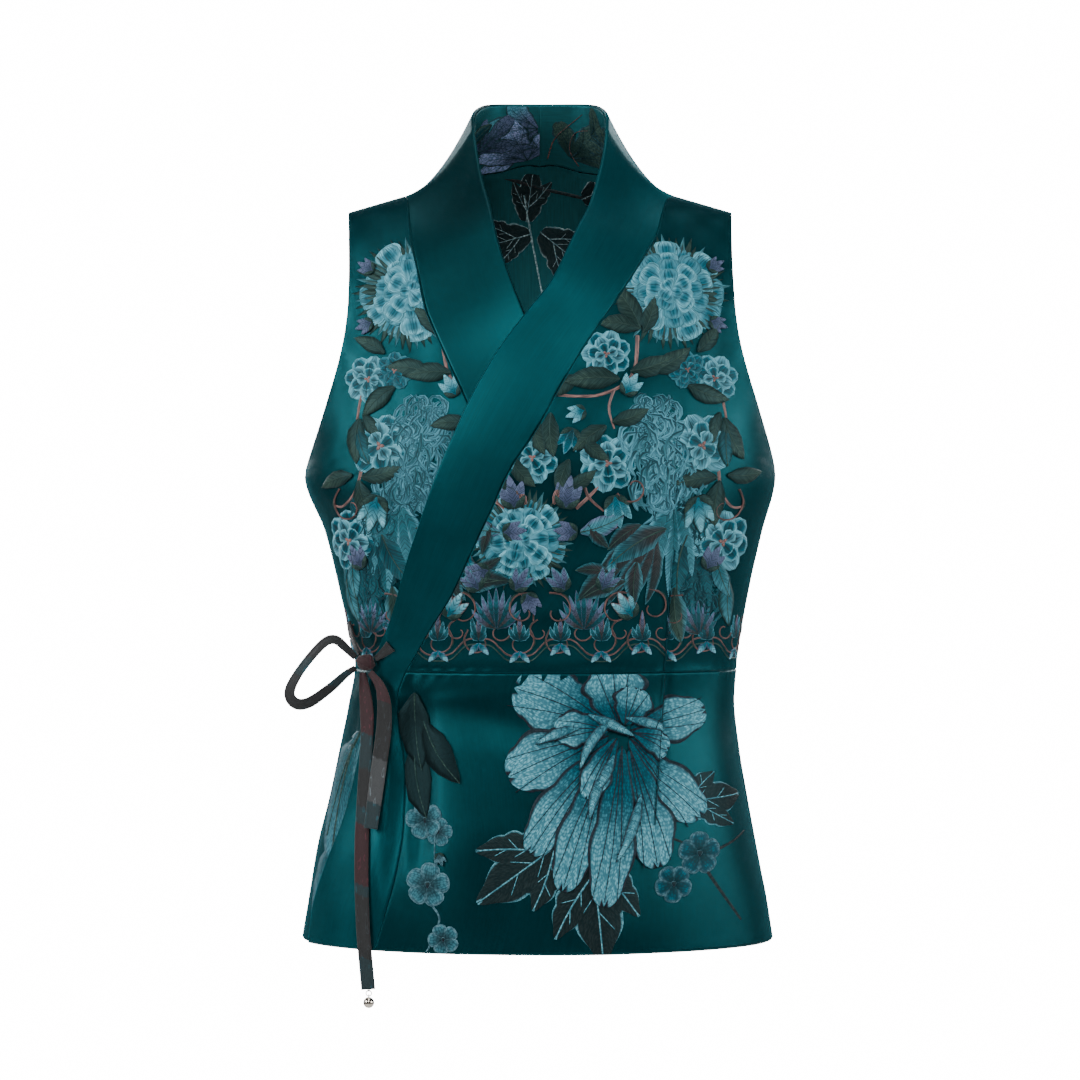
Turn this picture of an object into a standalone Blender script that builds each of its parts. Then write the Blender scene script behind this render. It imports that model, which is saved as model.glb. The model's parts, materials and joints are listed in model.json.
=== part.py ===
"""A sleeveless wrap waistcoat, filled out as if worn, with its left front tied over its right.

Units are metres and +Z is up. The wearer faces -Y and the wearer's left is +X. The origin lies
midway between the points where the shoulder seams meet the neckband. Cloth is placed on a plain
figure by an angle round the body and a level: the level is the height, but above the underarm it
is stretched so that level 0 follows the shoulder seam.
"""
from math import asin, copysign, cos, exp, pi, radians, sin

import bmesh
import bpy
from mathutils import Matrix, Vector

WALL = 0.0020
BAND_WALL = 0.0024
LINING_WALL = 0.0010
LINING_GAP = 0.0006
SEAM = 0.0003
OVERLAP_LIFT = 0.0040
OVERLAP_TURN = radians(32)
OVERLAP_DROP = 0.085
UNDERARM = -0.223
WAIST = -0.377
HEM = -0.591
NECK_POINT = 0.108
SHOULDER_SLOPE = 0.287
SHOULDER_ROLL = 3.0
SIDE_ROUND = 0.92
SWING, DROP = 0.004, 0.0004
NECK_RISE = {"front": 0.030, "back": 0.090}

# Rows of mesh down each stretch, shared by the fronts and the bands that join them.
NECK_ROWS = 7
BODICE_ROWS = 20
ARMHOLE_ROWS = 11
PEPLUM_ROWS = 9
ROW_CROWDING = 1.8
BAND_COLUMNS = 5
BAND_WIDTH = 0.058
BAND_START = SEAM / BAND_WIDTH
BAND_STEP = 0.01

# Where the back's columns turn from the neck seam to the shoulders, and how far inner cloth stays
# back from the edges above it, as shares of a row or column.
NECK_CORNER = 0.7
LINING_BACK = 0.7
FACING_SEAM_BACK = 0.16
FACING_EDGE_BACK = 0.08

# The figure at each level: half widths of its right and left sides, depths of front and back.
LEVEL, RIGHT, LEFT, FRONT, BACK = range(5)
FIGURE = (
    (-0.591, 0.1900, 0.1860, 0.1120, 0.1090),
    (-0.556, 0.1844, 0.1804, 0.1105, 0.1085),
    (-0.518, 0.1780, 0.1732, 0.1075, 0.1060),
    (-0.479, 0.1684, 0.1660, 0.1010, 0.0990),
    (-0.441, 0.1604, 0.1596, 0.0945, 0.0900),
    (-0.402, 0.1524, 0.1556, 0.0885, 0.0830),
    (-0.374, 0.1480, 0.1570, 0.0885, 0.0825),
    (-0.354, 0.1520, 0.1596, 0.0930, 0.0840),
    (-0.306, 0.1620, 0.1684, 0.1030, 0.0890),
    (-0.268, 0.1716, 0.1772, 0.1100, 0.0930),
    (-0.223, 0.1880, 0.1880, 0.1130, 0.0980),
    (-0.150, 0.1885, 0.1885, 0.1030, 0.1030),
    (-0.100, 0.1885, 0.1885, 0.0915, 0.1030),
    (-0.050, 0.1885, 0.1885, 0.0770, 0.0990),
    (0.000, 0.1885, 0.1885, 0.0600, 0.0940),
)

# Distance of the armhole's edge from the centre at each level.
ARMHOLE_LEVEL, ARMHOLE_X = range(2)
ARMHOLE = (
    (-0.223, 0.1880),
    (-0.200, 0.1800),
    (-0.180, 0.1732),
    (-0.160, 0.1670),
    (-0.140, 0.1610),
    (-0.120, 0.1560),
    (-0.100, 0.1526),
    (-0.080, 0.1509),
    (-0.060, 0.1506),
    (-0.020, 0.1517),
    (0.000, 0.1528),
)

# Level of the back neck seam at each distance from the centre back.
NECK_OUT, NECK_LEVEL = range(2)
NECK_SEAM = (
    (0.000, -0.0564),
    (0.030, -0.0455),
    (0.055, -0.0275),
    (0.080, -0.0090),
    (0.095, -0.0020),
    (0.108, 0.0000),
)

# Free edge of the band behind the neck. The share runs from the centre back to the shoulder, and
# the sag hollows the band below the straight line from its seam to its edge.
SHARE, NECK_X, NECK_Y, NECK_Z, NECK_SAG = range(5)
NECK_EDGE = (
    (0.00, 0.0000, 0.0660, 0.0840, 0.000),
    (0.22, 0.0270, 0.0645, 0.0838, 0.000),
    (0.42, 0.0440, 0.0540, 0.0818, 0.004),
    (0.62, 0.0520, 0.0370, 0.0765, 0.010),
    (0.82, 0.0545, 0.0180, 0.0685, 0.016),
    (1.00, 0.0535, 0.0000, 0.0560, 0.018),
)

# Each band down the front: its seam, its free edge, how far it hugs the figure (0 to 1), and sag.
SEAM_X, SEAM_Z, EDGE_X, EDGE_Y, EDGE_Z, HUG, SAG = range(7)
LEFT_BAND = (
    (0.1080, 0.0000, 0.0535, 0.0000, 0.0560, 0.0, 0.018),
    (0.1005, -0.0055, 0.0510, -0.0150, 0.0360, 0.0, 0.017),
    (0.0965, -0.0170, 0.0450, -0.0360, 0.0100, 0.1, 0.012),
    (0.0925, -0.0320, 0.0375, -0.0540, -0.0140, 0.4, 0.006),
    (0.0835, -0.0480, 0.0300, -0.0700, -0.0290, 0.8, 0.002),
    (0.0757, -0.0613, 0.0235, -0.0800, -0.0430, 1.0, 0.0),
    (0.0530, -0.0970, 0.0085, -0.0900, -0.0745, 1.0, 0.0),
    (0.0308, -0.1301, -0.0107, -0.0990, -0.1004, 1.0, 0.0),
    (0.0137, -0.1597, -0.0306, -0.1030, -0.1270, 1.0, 0.0),
    (-0.0034, -0.1915, -0.0510, -0.1060, -0.1620, 1.0, 0.0),
    (-0.0228, -0.2207, -0.0680, -0.1080, -0.1990, 1.0, 0.0),
    (-0.0373, -0.2522, -0.0810, -0.1050, -0.2300, 1.0, 0.0),
    (-0.0521, -0.2835, -0.0918, -0.1000, -0.2610, 1.0, 0.0),
    (-0.0680, -0.3180, -0.1028, -0.0900, -0.2936, 1.0, 0.0),
    (-0.0820, -0.3401, -0.1100, -0.0800, -0.3200, 1.0, 0.0),
    (-0.0935, -0.3600, -0.1180, -0.0700, -0.3460, 1.0, 0.0),
    (-0.1040, -0.3800, -0.1275, -0.0600, -0.3690, 1.0, 0.0),
    (-0.1095, -0.3990, -0.1330, -0.0550, -0.3930, 1.0, 0.0),
    (-0.1082, -0.4250, -0.1362, -0.0550, -0.4250, 1.0, 0.0),
    (-0.1050, -0.4600, -0.1430, -0.0550, -0.4600, 1.0, 0.0),
    (-0.1055, -0.4950, -0.1525, -0.0550, -0.4950, 1.0, 0.0),
    (-0.1095, -0.5300, -0.1662, -0.0500, -0.5300, 1.0, 0.0),
    (-0.1180, -0.5650, -0.1765, -0.0450, -0.5650, 1.0, 0.0),
    (-0.1265, -0.5910, -0.1795, -0.0450, -0.5910, 1.0, 0.0),
)
RIGHT_BAND = (
    (-0.1080, 0.0000, -0.0535, 0.0000, 0.0560, 0.0, 0.018),
    (-0.1048, -0.0070, -0.0505, -0.0150, 0.0360, 0.0, 0.017),
    (-0.1036, -0.0200, -0.0462, -0.0340, 0.0120, 0.1, 0.012),
    (-0.1015, -0.0350, -0.0405, -0.0520, -0.0080, 0.4, 0.006),
    (-0.0985, -0.0500, -0.0360, -0.0680, -0.0270, 0.8, 0.002),
    (-0.0954, -0.0629, -0.0325, -0.0760, -0.0420, 1.0, 0.0),
    (-0.0886, -0.0938, -0.0230, -0.0850, -0.0710, 1.0, 0.0),
    (-0.0771, -0.1217, -0.0135, -0.0930, -0.0950, 1.0, 0.0),
    (-0.0551, -0.1700, 0.0035, -0.1000, -0.1400, 1.0, 0.0),
    (-0.0350, -0.2150, 0.0230, -0.1050, -0.1850, 1.0, 0.0),
    (-0.0080, -0.2700, 0.0480, -0.1050, -0.2430, 1.0, 0.0),
    (0.0200, -0.3300, 0.0740, -0.0950, -0.3080, 1.0, 0.0),
    (0.0400, -0.3770, 0.0940, -0.0850, -0.3640, 1.0, 0.0),
    (0.0480, -0.4300, 0.1050, -0.0800, -0.4250, 1.0, 0.0),
    (0.0560, -0.5000, 0.1130, -0.0850, -0.4990, 1.0, 0.0),
    (0.0660, -0.5910, 0.1230, -0.0850, -0.5910, 1.0, 0.0),
)

# The largest folds of the fronts, each along a straight line: its ends, width and depth.
# A fold with a negative depth is a ridge. A valley this deep also presses in the front below.
FROM_X, FROM_Z, TO_X, TO_Z, SPREAD, DEPTH = range(6)
SHARED_DEPTH = 0.004
SHARED_SPREAD = 1.6
FOLD_REACH = 3
FOLDS = (
    (-0.0945, -0.4080, -0.0920, -0.5180, 0.0105, 0.0068),
    (-0.1215, -0.4050, -0.1250, -0.5600, 0.0130, -0.0025),
    (-0.1150, -0.3450, -0.1200, -0.3800, 0.0110, -0.0025),
    (-0.0900, -0.3780, -0.0350, -0.3640, 0.0120, 0.0010),
    (-0.0700, -0.3950, 0.0100, -0.4300, 0.0150, 0.0010),
    (0.0400, -0.5000, 0.0520, -0.5910, 0.0220, -0.0030),
    (-0.0300, -0.5100, -0.0400, -0.5910, 0.0200, 0.0010),
)

# Ribbons of the tie. Those that hang on the cloth give their height over the figure, and the loop
# gives its depth from the centre. The turn swings a ribbon's face about its own run, in degrees.
FORWARD = Vector((0, -1, 0))
KNOT = Vector((-0.1360, -0.0585, -0.3700))
KNOT_RADII = (0.0078, 0.0056, 0.0074)
RIBBON_WALL = 0.0016
RIBBON_ROWS = 3
RIBBON_STEP = 0.01
SEEKING_STEPS = 12
STEEPEST = 0.3
HANG_X, HANG_Z, OVER, WIDTH, TURN = range(5)
SIDE_TIE = (
    (-0.1515, -0.3400, 0.0016, 0.0100, 0.0),
    (-0.1497, -0.3465, 0.0024, 0.0090, 0.0),
    (-0.1468, -0.3540, 0.0070, 0.0066, 0.0),
    (-0.1410, -0.3632, 0.0146, 0.0044, 0.0),
)
FRONT_TIE = (
    (-0.1160, -0.3570, 0.0016, 0.0100, 0.0),
    (-0.1215, -0.3620, 0.0022, 0.0070, 0.0),
    (-0.1282, -0.3672, 0.0026, 0.0042, 0.0),
)
LONG_TAIL = (
    (-0.1385, -0.3779, 0.0097, 0.0050, 0.0),
    (-0.1372, -0.3900, 0.0075, 0.0090, 0.0),
    (-0.1352, -0.4080, 0.0058, 0.0120, 6.0),
    (-0.1350, -0.4300, 0.0042, 0.0110, 8.0),
    (-0.1372, -0.4760, 0.0040, 0.0105, 0.0),
    (-0.1379, -0.5060, 0.0044, 0.0110, -6.0),
    (-0.1378, -0.5370, 0.0038, 0.0112, 0.0),
    (-0.1366, -0.5700, 0.0034, 0.0114, 4.0),
    (-0.1350, -0.5910, 0.0034, 0.0114, 4.0),
    (-0.1322, -0.6205, 0.0030, 0.0112, 0.0),
)
SHORT_TAIL = (
    (-0.1325, -0.3775, 0.0068, 0.0046, 0.0),
    (-0.1245, -0.3880, 0.0078, 0.0080, 0.0),
    (-0.1210, -0.4020, 0.0078, 0.0110, -8.0),
    (-0.1212, -0.4220, 0.0074, 0.0120, -10.0),
    (-0.1240, -0.4455, 0.0074, 0.0124, 0.0),
    (-0.1270, -0.4690, 0.0074, 0.0124, 4.0),
    (-0.1306, -0.4970, 0.0076, 0.0110, 0.0),
)
LOOP_POINT = slice(0, 3)
LOOP = (
    (-0.1441, -0.0585, -0.3664, 0.0044, 20.0),
    (-0.1510, -0.0600, -0.3590, 0.0070, 32.0),
    (-0.1600, -0.0615, -0.3520, 0.0090, 42.0),
    (-0.1700, -0.0625, -0.3560, 0.0105, 50.0),
    (-0.1868, -0.0635, -0.3760, 0.0105, 50.0),
    (-0.1950, -0.0640, -0.3925, 0.0105, 38.0),
    (-0.1905, -0.0635, -0.4015, 0.0105, 30.0),
    (-0.1800, -0.0625, -0.4010, 0.0105, 38.0),
    (-0.1640, -0.0605, -0.3900, 0.0095, 42.0),
    (-0.1520, -0.0590, -0.3795, 0.0065, 32.0),
    (-0.1440, -0.0580, -0.3742, 0.0044, 20.0),
)

# The ring and the ball that swings from its lowest point.
RING_X = -0.1318
RING_RADIUS = 0.0021
RING_WIRE = 0.0004
EYE_RADIUS = 0.0011
EYE_WIRE = 0.00035
BALL_RADIUS = 0.0042
BALL_DROP = 0.0051

SATIN = (0.006, 0.075, 0.085)
DARK_SATIN = (0.003, 0.035, 0.042)
LEAFY = (0.020, 0.055, 0.060)
RIBBON = (0.035, 0.035, 0.042)
MAROON = (0.055, 0.012, 0.022)
PALE_GOLD = (0.80, 0.68, 0.50)


def ease(low, high, value):
    """Rises smoothly from 0 to 1 as the value goes from low to high."""
    share = min(max((value - low) / (high - low), 0.0), 1.0)
    return share * share * (3 - 2 * share)


def read(rows, key, column, value):
    """Reads one column of a table on a smooth curve that never overshoots its rows."""
    rising = rows[-1][key] > rows[0][key]
    order = rows if rising else rows[::-1]
    last = len(order) - 2
    i = 0
    while i < last and value > order[i + 1][key]:
        i += 1

    def rate(a, b):
        return (order[b][column] - order[a][column]) / (order[b][key] - order[a][key])

    def slope(j):
        if j == 0 or j == last + 1:
            return rate(max(j - 1, 0), min(j + 1, last + 1))
        before, after = rate(j - 1, j), rate(j, j + 1)
        if before * after <= 0:
            return 0.0
        return 2 * before * after / (before + after)

    span = order[i + 1][key] - order[i][key]
    t = min(max((value - order[i][key]) / span, 0.0), 1.0)
    start, end = order[i][column], order[i + 1][column]
    return (
        start * (1 + 2 * t) * (1 - t) ** 2
        + end * t * t * (3 - 2 * t)
        + span * (slope(i) * t * (1 - t) ** 2 + slope(i + 1) * t * t * (t - 1))
    )


def through(rows, share):
    """Runs through all the rows of a table, evenly by row, and mixes every column."""
    place = min(max(share, 0.0), 1.0) * (len(rows) - 1)
    i = min(int(place), len(rows) - 2)
    t = place - i
    near = (rows[min(max(i + k, 0), len(rows) - 1)] for k in (-1, 0, 1, 2))

    def mixed(before, start, end, after):
        first = (end - before) * t
        second = (2 * before - 5 * start + 4 * end - after) * t ** 2
        third = (3 * start - before - 3 * end + after) * t ** 3
        return start + (first + second + third) / 2

    return tuple(mixed(*column) for column in zip(*near))


def shoulder(x, face):
    """Height of the shoulder seam, carried on over the neck as a smooth rise."""
    rise = NECK_RISE[face] * (1 - ease(0.0, NECK_POINT, abs(x)))
    return rise - SHOULDER_SLOPE * (abs(x) - NECK_POINT)


def half_width(side, level):
    """Half width of the figure's left (side over 0) or right."""
    return read(FIGURE, LEVEL, LEFT if side > 0 else RIGHT, level)


def figure(face, angle, level):
    """A point of the figure, by its angle from the centre front or centre back and its level."""
    x = half_width(angle, level) * sin(angle)
    depth = read(FIGURE, LEVEL, FRONT if face == "front" else BACK, level)
    z = level
    if level > UNDERARM:
        share = 1 - level / UNDERARM
        z = UNDERARM + share * (shoulder(x, face) - UNDERARM)
        depth *= max(0.0, 1 - share ** SHOULDER_ROLL) ** (1 / SHOULDER_ROLL)
    depth = depth * max(cos(angle), 0.0) ** SIDE_ROUND + SEAM / 2
    return Vector((x, -depth if face == "front" else depth, z))


def outward(face, angle, level):
    """The figure's outward direction at a point."""
    a = min(max(angle, -pi / 2 + SWING), pi / 2 - SWING)
    high = min(level + DROP, -1e-6)
    sideways = figure(face, a + SWING, level) - figure(face, a - SWING, level)
    upward = figure(face, a, high) - figure(face, a, high - 2 * DROP)
    way = sideways.cross(upward)
    if face == "back":
        way = -way
    if abs(cos(angle)) < 0.02 or level > -1e-5:
        way.y = 0.0
    return way.normalized()


def spot(face, x, z):
    """The angle and level of a point seen at x and z from straight in front or behind."""
    level = z
    if z > UNDERARM:
        share = (z - UNDERARM) / (shoulder(x, face) - UNDERARM)
        level = UNDERARM * (1 - min(share, 1.0))
    return asin(min(max(x / half_width(x, level), -1.0), 1.0)), level


def fold(layer, x, z):
    """How far the folds lift or sink a front at a place."""
    height = 0.0
    for row in FOLDS:
        spread = row[SPREAD]
        if layer == "under":
            if row[DEPTH] < SHARED_DEPTH:
                continue
            spread *= SHARED_SPREAD
        run_x, run_z = row[TO_X] - row[FROM_X], row[TO_Z] - row[FROM_Z]
        length = (run_x ** 2 + run_z ** 2) ** 0.5
        share = ((x - row[FROM_X]) * run_x + (z - row[FROM_Z]) * run_z) / length ** 2
        off = abs((x - row[FROM_X]) * run_z - (z - row[FROM_Z]) * run_x) / length
        if off < FOLD_REACH * spread:
            taper = ease(-0.25, 0.2, share) * (1 - ease(0.8, 1.25, share))
            height -= row[DEPTH] * taper * exp(-((off / spread) ** 2))
    return height


def lift(layer, angle, level):
    """Height of a front's outer side over the figure. The overlap passes over the other front."""
    if layer == "under":
        return 0.0
    return OVERLAP_LIFT * ease(0.0, OVERLAP_TURN, pi / 2 - angle) * ease(0.0, OVERLAP_DROP, -level)


def on_front(layer, angle, level, height):
    """A point of a front, at a height over that front's outer side."""
    base = figure("front", angle, level)
    rise = lift(layer, angle, level) + fold(layer, base.x, base.z) + height
    return base + outward("front", angle, level) * rise


def on_back(angle, level, height):
    return figure("back", angle, level) + outward("back", angle, level) * height


def down_bodice(share):
    """Level of a row of the bodice: close together at the shoulder, even below the armhole."""
    armhole = ARMHOLE_ROWS / BODICE_ROWS
    if share <= armhole:
        return UNDERARM * (share / armhole) ** ROW_CROWDING
    return UNDERARM + (WAIST - UNDERARM) * (share - armhole) / (1 - armhole)


def down_front(share):
    """Level of a row of the whole front: 0 to 1 is the bodice and 1 to 2 the peplum."""
    if share <= 1:
        return down_bodice(share)
    return WAIST + (HEM - WAIST) * (share - 1)


def side_angle(level):
    """Angle of the armhole's edge or, below the underarm, of the side seam."""
    if level <= UNDERARM:
        return pi / 2
    return asin(min(read(ARMHOLE, ARMHOLE_LEVEL, ARMHOLE_X, level) / half_width(1, level), 1.0))


def keyed(rows):
    """A band's table with the level of its seam as one more column."""
    return tuple(row + (spot("front", row[SEAM_X], row[SEAM_Z])[1],) for row in rows)


BANDS = {"over": keyed(LEFT_BAND), "under": keyed(RIGHT_BAND)}
BAND_LEVEL = 7


def seam_angle(layer, level):
    """Angle of the seam between a front and its band."""
    x = read(BANDS[layer], BAND_LEVEL, SEAM_X, level)
    return asin(x / half_width(x, level))


def neck_seam(share):
    """Angle and level of the back neck seam, from the centre back (0) to the shoulder (1)."""
    x = NECK_POINT * sin(share * pi / 2)
    level = read(NECK_SEAM, NECK_OUT, NECK_LEVEL, x)
    return asin(x / half_width(x, level)), level


def hollowed(start, end, sag, across):
    middle = (start + end) / 2 - Vector((0, 0, sag))
    return start.lerp(middle, across).lerp(middle.lerp(end, across), across)


def band_surface(layer, run, across):
    """A band's outer side. The run is -1 at the centre back, 0 at the shoulder and 2 at the hem."""
    side = 1 if layer == "over" else -1
    if run <= 0:
        share = 1 + run
        angle, level = neck_seam(share)
        start = figure("back", angle, level)
        edge = Vector([read(NECK_EDGE, SHARE, column, share) for column in (NECK_X, NECK_Y, NECK_Z)])
        point = hollowed(start, edge, read(NECK_EDGE, SHARE, NECK_SAG, share), across)
        return Vector((side * point.x, point.y, point.z))
    rows, level = BANDS[layer], down_front(run)
    start = on_front(layer, seam_angle(layer, level), level, 0.0)
    edge = Vector([read(rows, BAND_LEVEL, column, level) for column in (EDGE_X, EDGE_Y, EDGE_Z)])
    hug = read(rows, BAND_LEVEL, HUG, level)
    point = hollowed(start, edge, read(rows, BAND_LEVEL, SAG, level), across)
    if hug > 0:
        point = point.lerp(hugging(layer, level, edge, across), hug)
    return point


def hugging(layer, level, edge, across):
    """A point of a band that lies on the front, between its seam and its free edge."""
    angle = seam_angle(layer, level)
    edge_angle, edge_level = spot("front", edge.x, edge.z)
    return on_front(
        layer, angle + (edge_angle - angle) * across, level + (edge_level - level) * across, 0.0
    )


def on_band(layer, run, across, depth):
    """A point of a band at a depth under its outer side."""
    point = band_surface(layer, run, across)
    if depth == 0:
        return point
    sides = (min(across + BAND_STEP, 1), max(across - BAND_STEP, 0))
    ends = (min(run + BAND_STEP, 2), max(run - BAND_STEP, -1))
    over = band_surface(layer, run, sides[0]) - band_surface(layer, run, sides[1])
    ahead = band_surface(layer, ends[0], across) - band_surface(layer, ends[1], across)
    way = over.cross(ahead).normalized()
    if layer == "under":
        way = -way
    panel_way = beside_band(layer, run)
    if run > 0:
        hug = read(BANDS[layer], BAND_LEVEL, HUG, down_front(run))
        angle, level = spot("front", point.x, point.z)
        way = way.lerp(outward("front", angle, level), hug)
    way = panel_way.lerp(way, ease(0.0, 0.3, across))
    return point - way.normalized() * depth


def beside_band(layer, run):
    """Outward direction of the panel at its seam with the band, so that both walls turn alike."""
    if run > 0:
        level = down_front(run)
        return outward("front", seam_angle(layer, level), level)
    way = outward("back", *neck_seam(1 + run))
    if layer == "under":
        way.x = -way.x
    return way


def band_runs():
    neck = [-1 + i / NECK_ROWS for i in range(NECK_ROWS)]
    bodice = [i / BODICE_ROWS for i in range(BODICE_ROWS)]
    peplum = [1 + i / PEPLUM_ROWS for i in range(PEPLUM_ROWS + 1)]
    return neck + bodice + peplum


def material(name, color, roughness, metallic=0.0):
    made = bpy.data.materials.new(name)
    made.use_nodes = True
    shader = made.node_tree.nodes["Principled BSDF"]
    shader.inputs["Base Color"].default_value = (*color, 1)
    shader.inputs["Roughness"].default_value = roughness
    shader.inputs["Metallic"].default_value = metallic
    made.diffuse_color = (*color, 1)
    return made


def finish(form, name, look, collection):
    bmesh.ops.recalc_face_normals(form, faces=form.faces[:])
    if form.calc_volume(signed=True) < 0:
        bmesh.ops.reverse_faces(form, faces=form.faces[:])
    mesh = bpy.data.meshes.new(name)
    form.to_mesh(mesh)
    form.free()
    mesh.shade_smooth()
    mesh.set_sharp_from_angle(angle=radians(35))
    mesh.materials.append(look)
    made = bpy.data.objects.new(name, mesh)
    collection.objects.link(made)
    return made


def sew(name, columns, rows, place, wall, look, collection):
    """Cuts a flat slab of cloth and bends it: place(across, along, depth) says where it goes."""
    form = bmesh.new()
    bmesh.ops.create_grid(form, x_segments=columns, y_segments=rows, size=0.5)
    outer = form.faces[:]
    copied = bmesh.ops.extrude_face_region(form, geom=outer, use_keep_orig=True)["geom"]
    inner = {corner for corner in copied if isinstance(corner, bmesh.types.BMVert)}
    for corner in form.verts:
        across, along = corner.co.x + 0.5, corner.co.y + 0.5
        corner.co = place(across, along, wall if corner in inner else 0.0)
    return finish(form, name, look, collection)


def make_fronts(layer, side_name, satin, collection):
    """One front of the bodice, its peplum and its band."""
    side = 1 if layer == "over" else -1

    def bodice(across, along, depth):
        level = down_bodice(along) if along < 1 else WAIST + SEAM / 2
        start, end = seam_angle(layer, level), side * side_angle(level)
        return on_front(layer, start + (end - start) * across, level, -depth)

    def peplum(across, along, depth):
        level = WAIST - SEAM / 2 + (HEM - WAIST + SEAM / 2) * along
        start, end = seam_angle(layer, level), side * pi / 2
        return on_front(layer, start + (end - start) * across ** crowding, level, -depth)

    def band(across, along, depth):
        run = runs[round(along * (len(runs) - 1))]
        point = on_band(layer, run, BAND_START + (1 - BAND_START) * across, depth)
        if run == -1:
            point.x = side * SEAM / 2
        return point

    # The overlap's columns crowd toward the deep fold beside its band.
    crowding, columns = (1.5, 16) if layer == "over" else (1.0, 20)
    runs = band_runs()
    sew("bodice_front_" + side_name, 18, BODICE_ROWS, bodice, WALL, satin, collection)
    sew("peplum_front_" + side_name, columns, PEPLUM_ROWS, peplum, WALL, satin, collection)
    sew("neckband_" + side_name, BAND_COLUMNS, len(runs) - 1, band, BAND_WALL, satin, collection)


def make_back(satin, leafy, collection):
    """The back of the bodice with its lining, and the back of the peplum."""
    tip = side_angle(0.0)
    neck_share = asin(NECK_POINT / half_width(1, 0.0)) / tip

    def spread(across):
        """Share of the way to the armhole, and the top level there, for a column."""
        side = 2 * across - 1
        if abs(side) < NECK_CORNER:
            angle, top = neck_seam(abs(side) / NECK_CORNER)
            return copysign(angle, side), copysign(angle / tip, side), top
        beyond = (abs(side) - NECK_CORNER) / (1 - NECK_CORNER)
        share = neck_share + (1 - neck_share) * beyond
        return copysign(share * tip, side), copysign(share, side), 0.0

    def bodice(across, along, depth):
        angle, share, top = spread(across)
        level = top + (WAIST + SEAM / 2 - top) * (down_bodice(along) / WAIST)
        drift = angle - share * side_angle(top)
        return on_back(share * side_angle(level) + drift * (1 - along), level, -depth)

    def lining(across, along, depth):
        """Lies under the back, and starts just below the neck seam."""
        under = WALL + LINING_GAP + depth
        point = bodice(across, along, under)
        if along == 0:
            toward_corner = min(abs(2 * across - 1) / NECK_CORNER, 1.0)
            next_row = bodice(across, 1 / BODICE_ROWS, under)
            point = point.lerp(next_row, LINING_BACK * (1 - toward_corner ** 4))
        return point

    def peplum(across, along, depth):
        level = WAIST - SEAM / 2 + (HEM - WAIST + SEAM / 2) * along
        return on_back((across - 0.5) * pi, level, -depth)

    sew("bodice_back", 20, BODICE_ROWS, bodice, WALL, satin, collection)
    sew("back_lining", 20, BODICE_ROWS, lining, LINING_WALL, leafy, collection)
    sew("peplum_back", 18, PEPLUM_ROWS, peplum, WALL, satin, collection)


def make_facings(leafy, collection):
    """The patterned inside of the band behind the neck, in two halves."""
    for layer, side_name in (("over", "left"), ("under", "right")):

        def on_column(across, along, depth):
            return on_band(layer, along - 1, BAND_START + (1 - BAND_START) * across, depth)

        def facing(across, along, depth):
            """Lies inside the band on the band's own columns, and stops short of both its edges."""
            under = BAND_WALL + LINING_GAP + depth
            point = on_column(across, along, under)
            if across in (0, 1):
                beside = on_column(abs(across - 1 / BAND_COLUMNS), along, under)
                point = point.lerp(beside, FACING_SEAM_BACK if across == 0 else FACING_EDGE_BACK)
            if along == 0:
                point.x = SEAM / 2 if layer == "over" else -SEAM / 2
            return point

        sew("collar_facing_" + side_name, BAND_COLUMNS, NECK_ROWS, facing, LINING_WALL, leafy, collection)


def ribbon(name, rows, place_of, look, collection):
    """A flat ribbon along a route. Each row of its table ends with its width and turn there."""
    length = RIBBON_ROWS * (len(rows) - 1)

    def bend(across, along, depth):
        here = through(rows, along)
        point, face = place_of(here)
        after = place_of(through(rows, min(along + RIBBON_STEP, 1)))[0]
        before = place_of(through(rows, max(along - RIBBON_STEP, 0)))[0]
        ahead = (after - before).normalized()
        face = (face - ahead * ahead.dot(face)).normalized()
        face = Matrix.Rotation(radians(here[TURN]), 3, ahead) @ face
        width = face.cross(ahead) * here[WIDTH]
        return point + width * (across - 0.5) + face * (RIBBON_WALL / 2 - depth)

    return sew(name, 2, length, bend, RIBBON_WALL, look, collection)


def above(layer, x, z, height):
    """The point seen from the front at x and z that lies a height over a front's outer side."""
    level = max(z, HEM)
    angle = spot("front", x, level)[0]
    for _ in range(SEEKING_STEPS):
        point = on_front(layer, angle, level, height)
        angle += (x - point.x) / (half_width(x, level) * max(cos(angle), STEEPEST))
    return Vector((x, point.y, z)), outward("front", angle, level)


def hanging(row):
    """Where a ribbon hangs on the overlap, half turned to its slope. It drops straight at the hem."""
    point, slope = above("over", row[HANG_X], row[HANG_Z], row[OVER])
    return point, slope + FORWARD


def lying(row):
    """Where a ribbon lies flat on the front that passes under the overlap."""
    return above("under", row[HANG_X], row[HANG_Z], row[OVER])


def in_the_air(row):
    return Vector(row[LOOP_POINT]), FORWARD


def make_tie(ribbon_look, maroon, collection):
    ribbon("tie_side", SIDE_TIE, lying, ribbon_look, collection)
    ribbon("tie_front", FRONT_TIE, hanging, ribbon_look, collection)
    ribbon("tie_tail_long", LONG_TAIL, hanging, ribbon_look, collection)
    ribbon("tie_tail_short", SHORT_TAIL, hanging, ribbon_look, collection)
    ribbon("tie_loop", LOOP, in_the_air, ribbon_look, collection)
    form = bmesh.new()
    size = Matrix.Diagonal((*KNOT_RADII, 1))
    bmesh.ops.create_uvsphere(form, u_segments=16, v_segments=10, radius=1.0, matrix=size)
    knot = finish(form, "tie_knot", maroon, collection)
    knot.location = KNOT


def wire_ring(name, center, radius, wire, turn):
    """A closed ring of wire as a mesh object, turned about the upright axis."""
    bpy.ops.mesh.primitive_torus_add(
        location=center,
        rotation=(pi / 2, 0, turn),
        major_radius=radius,
        minor_radius=wire,
        major_segments=20,
        minor_segments=8,
    )
    made = bpy.context.object
    made.name = name
    return made


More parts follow.
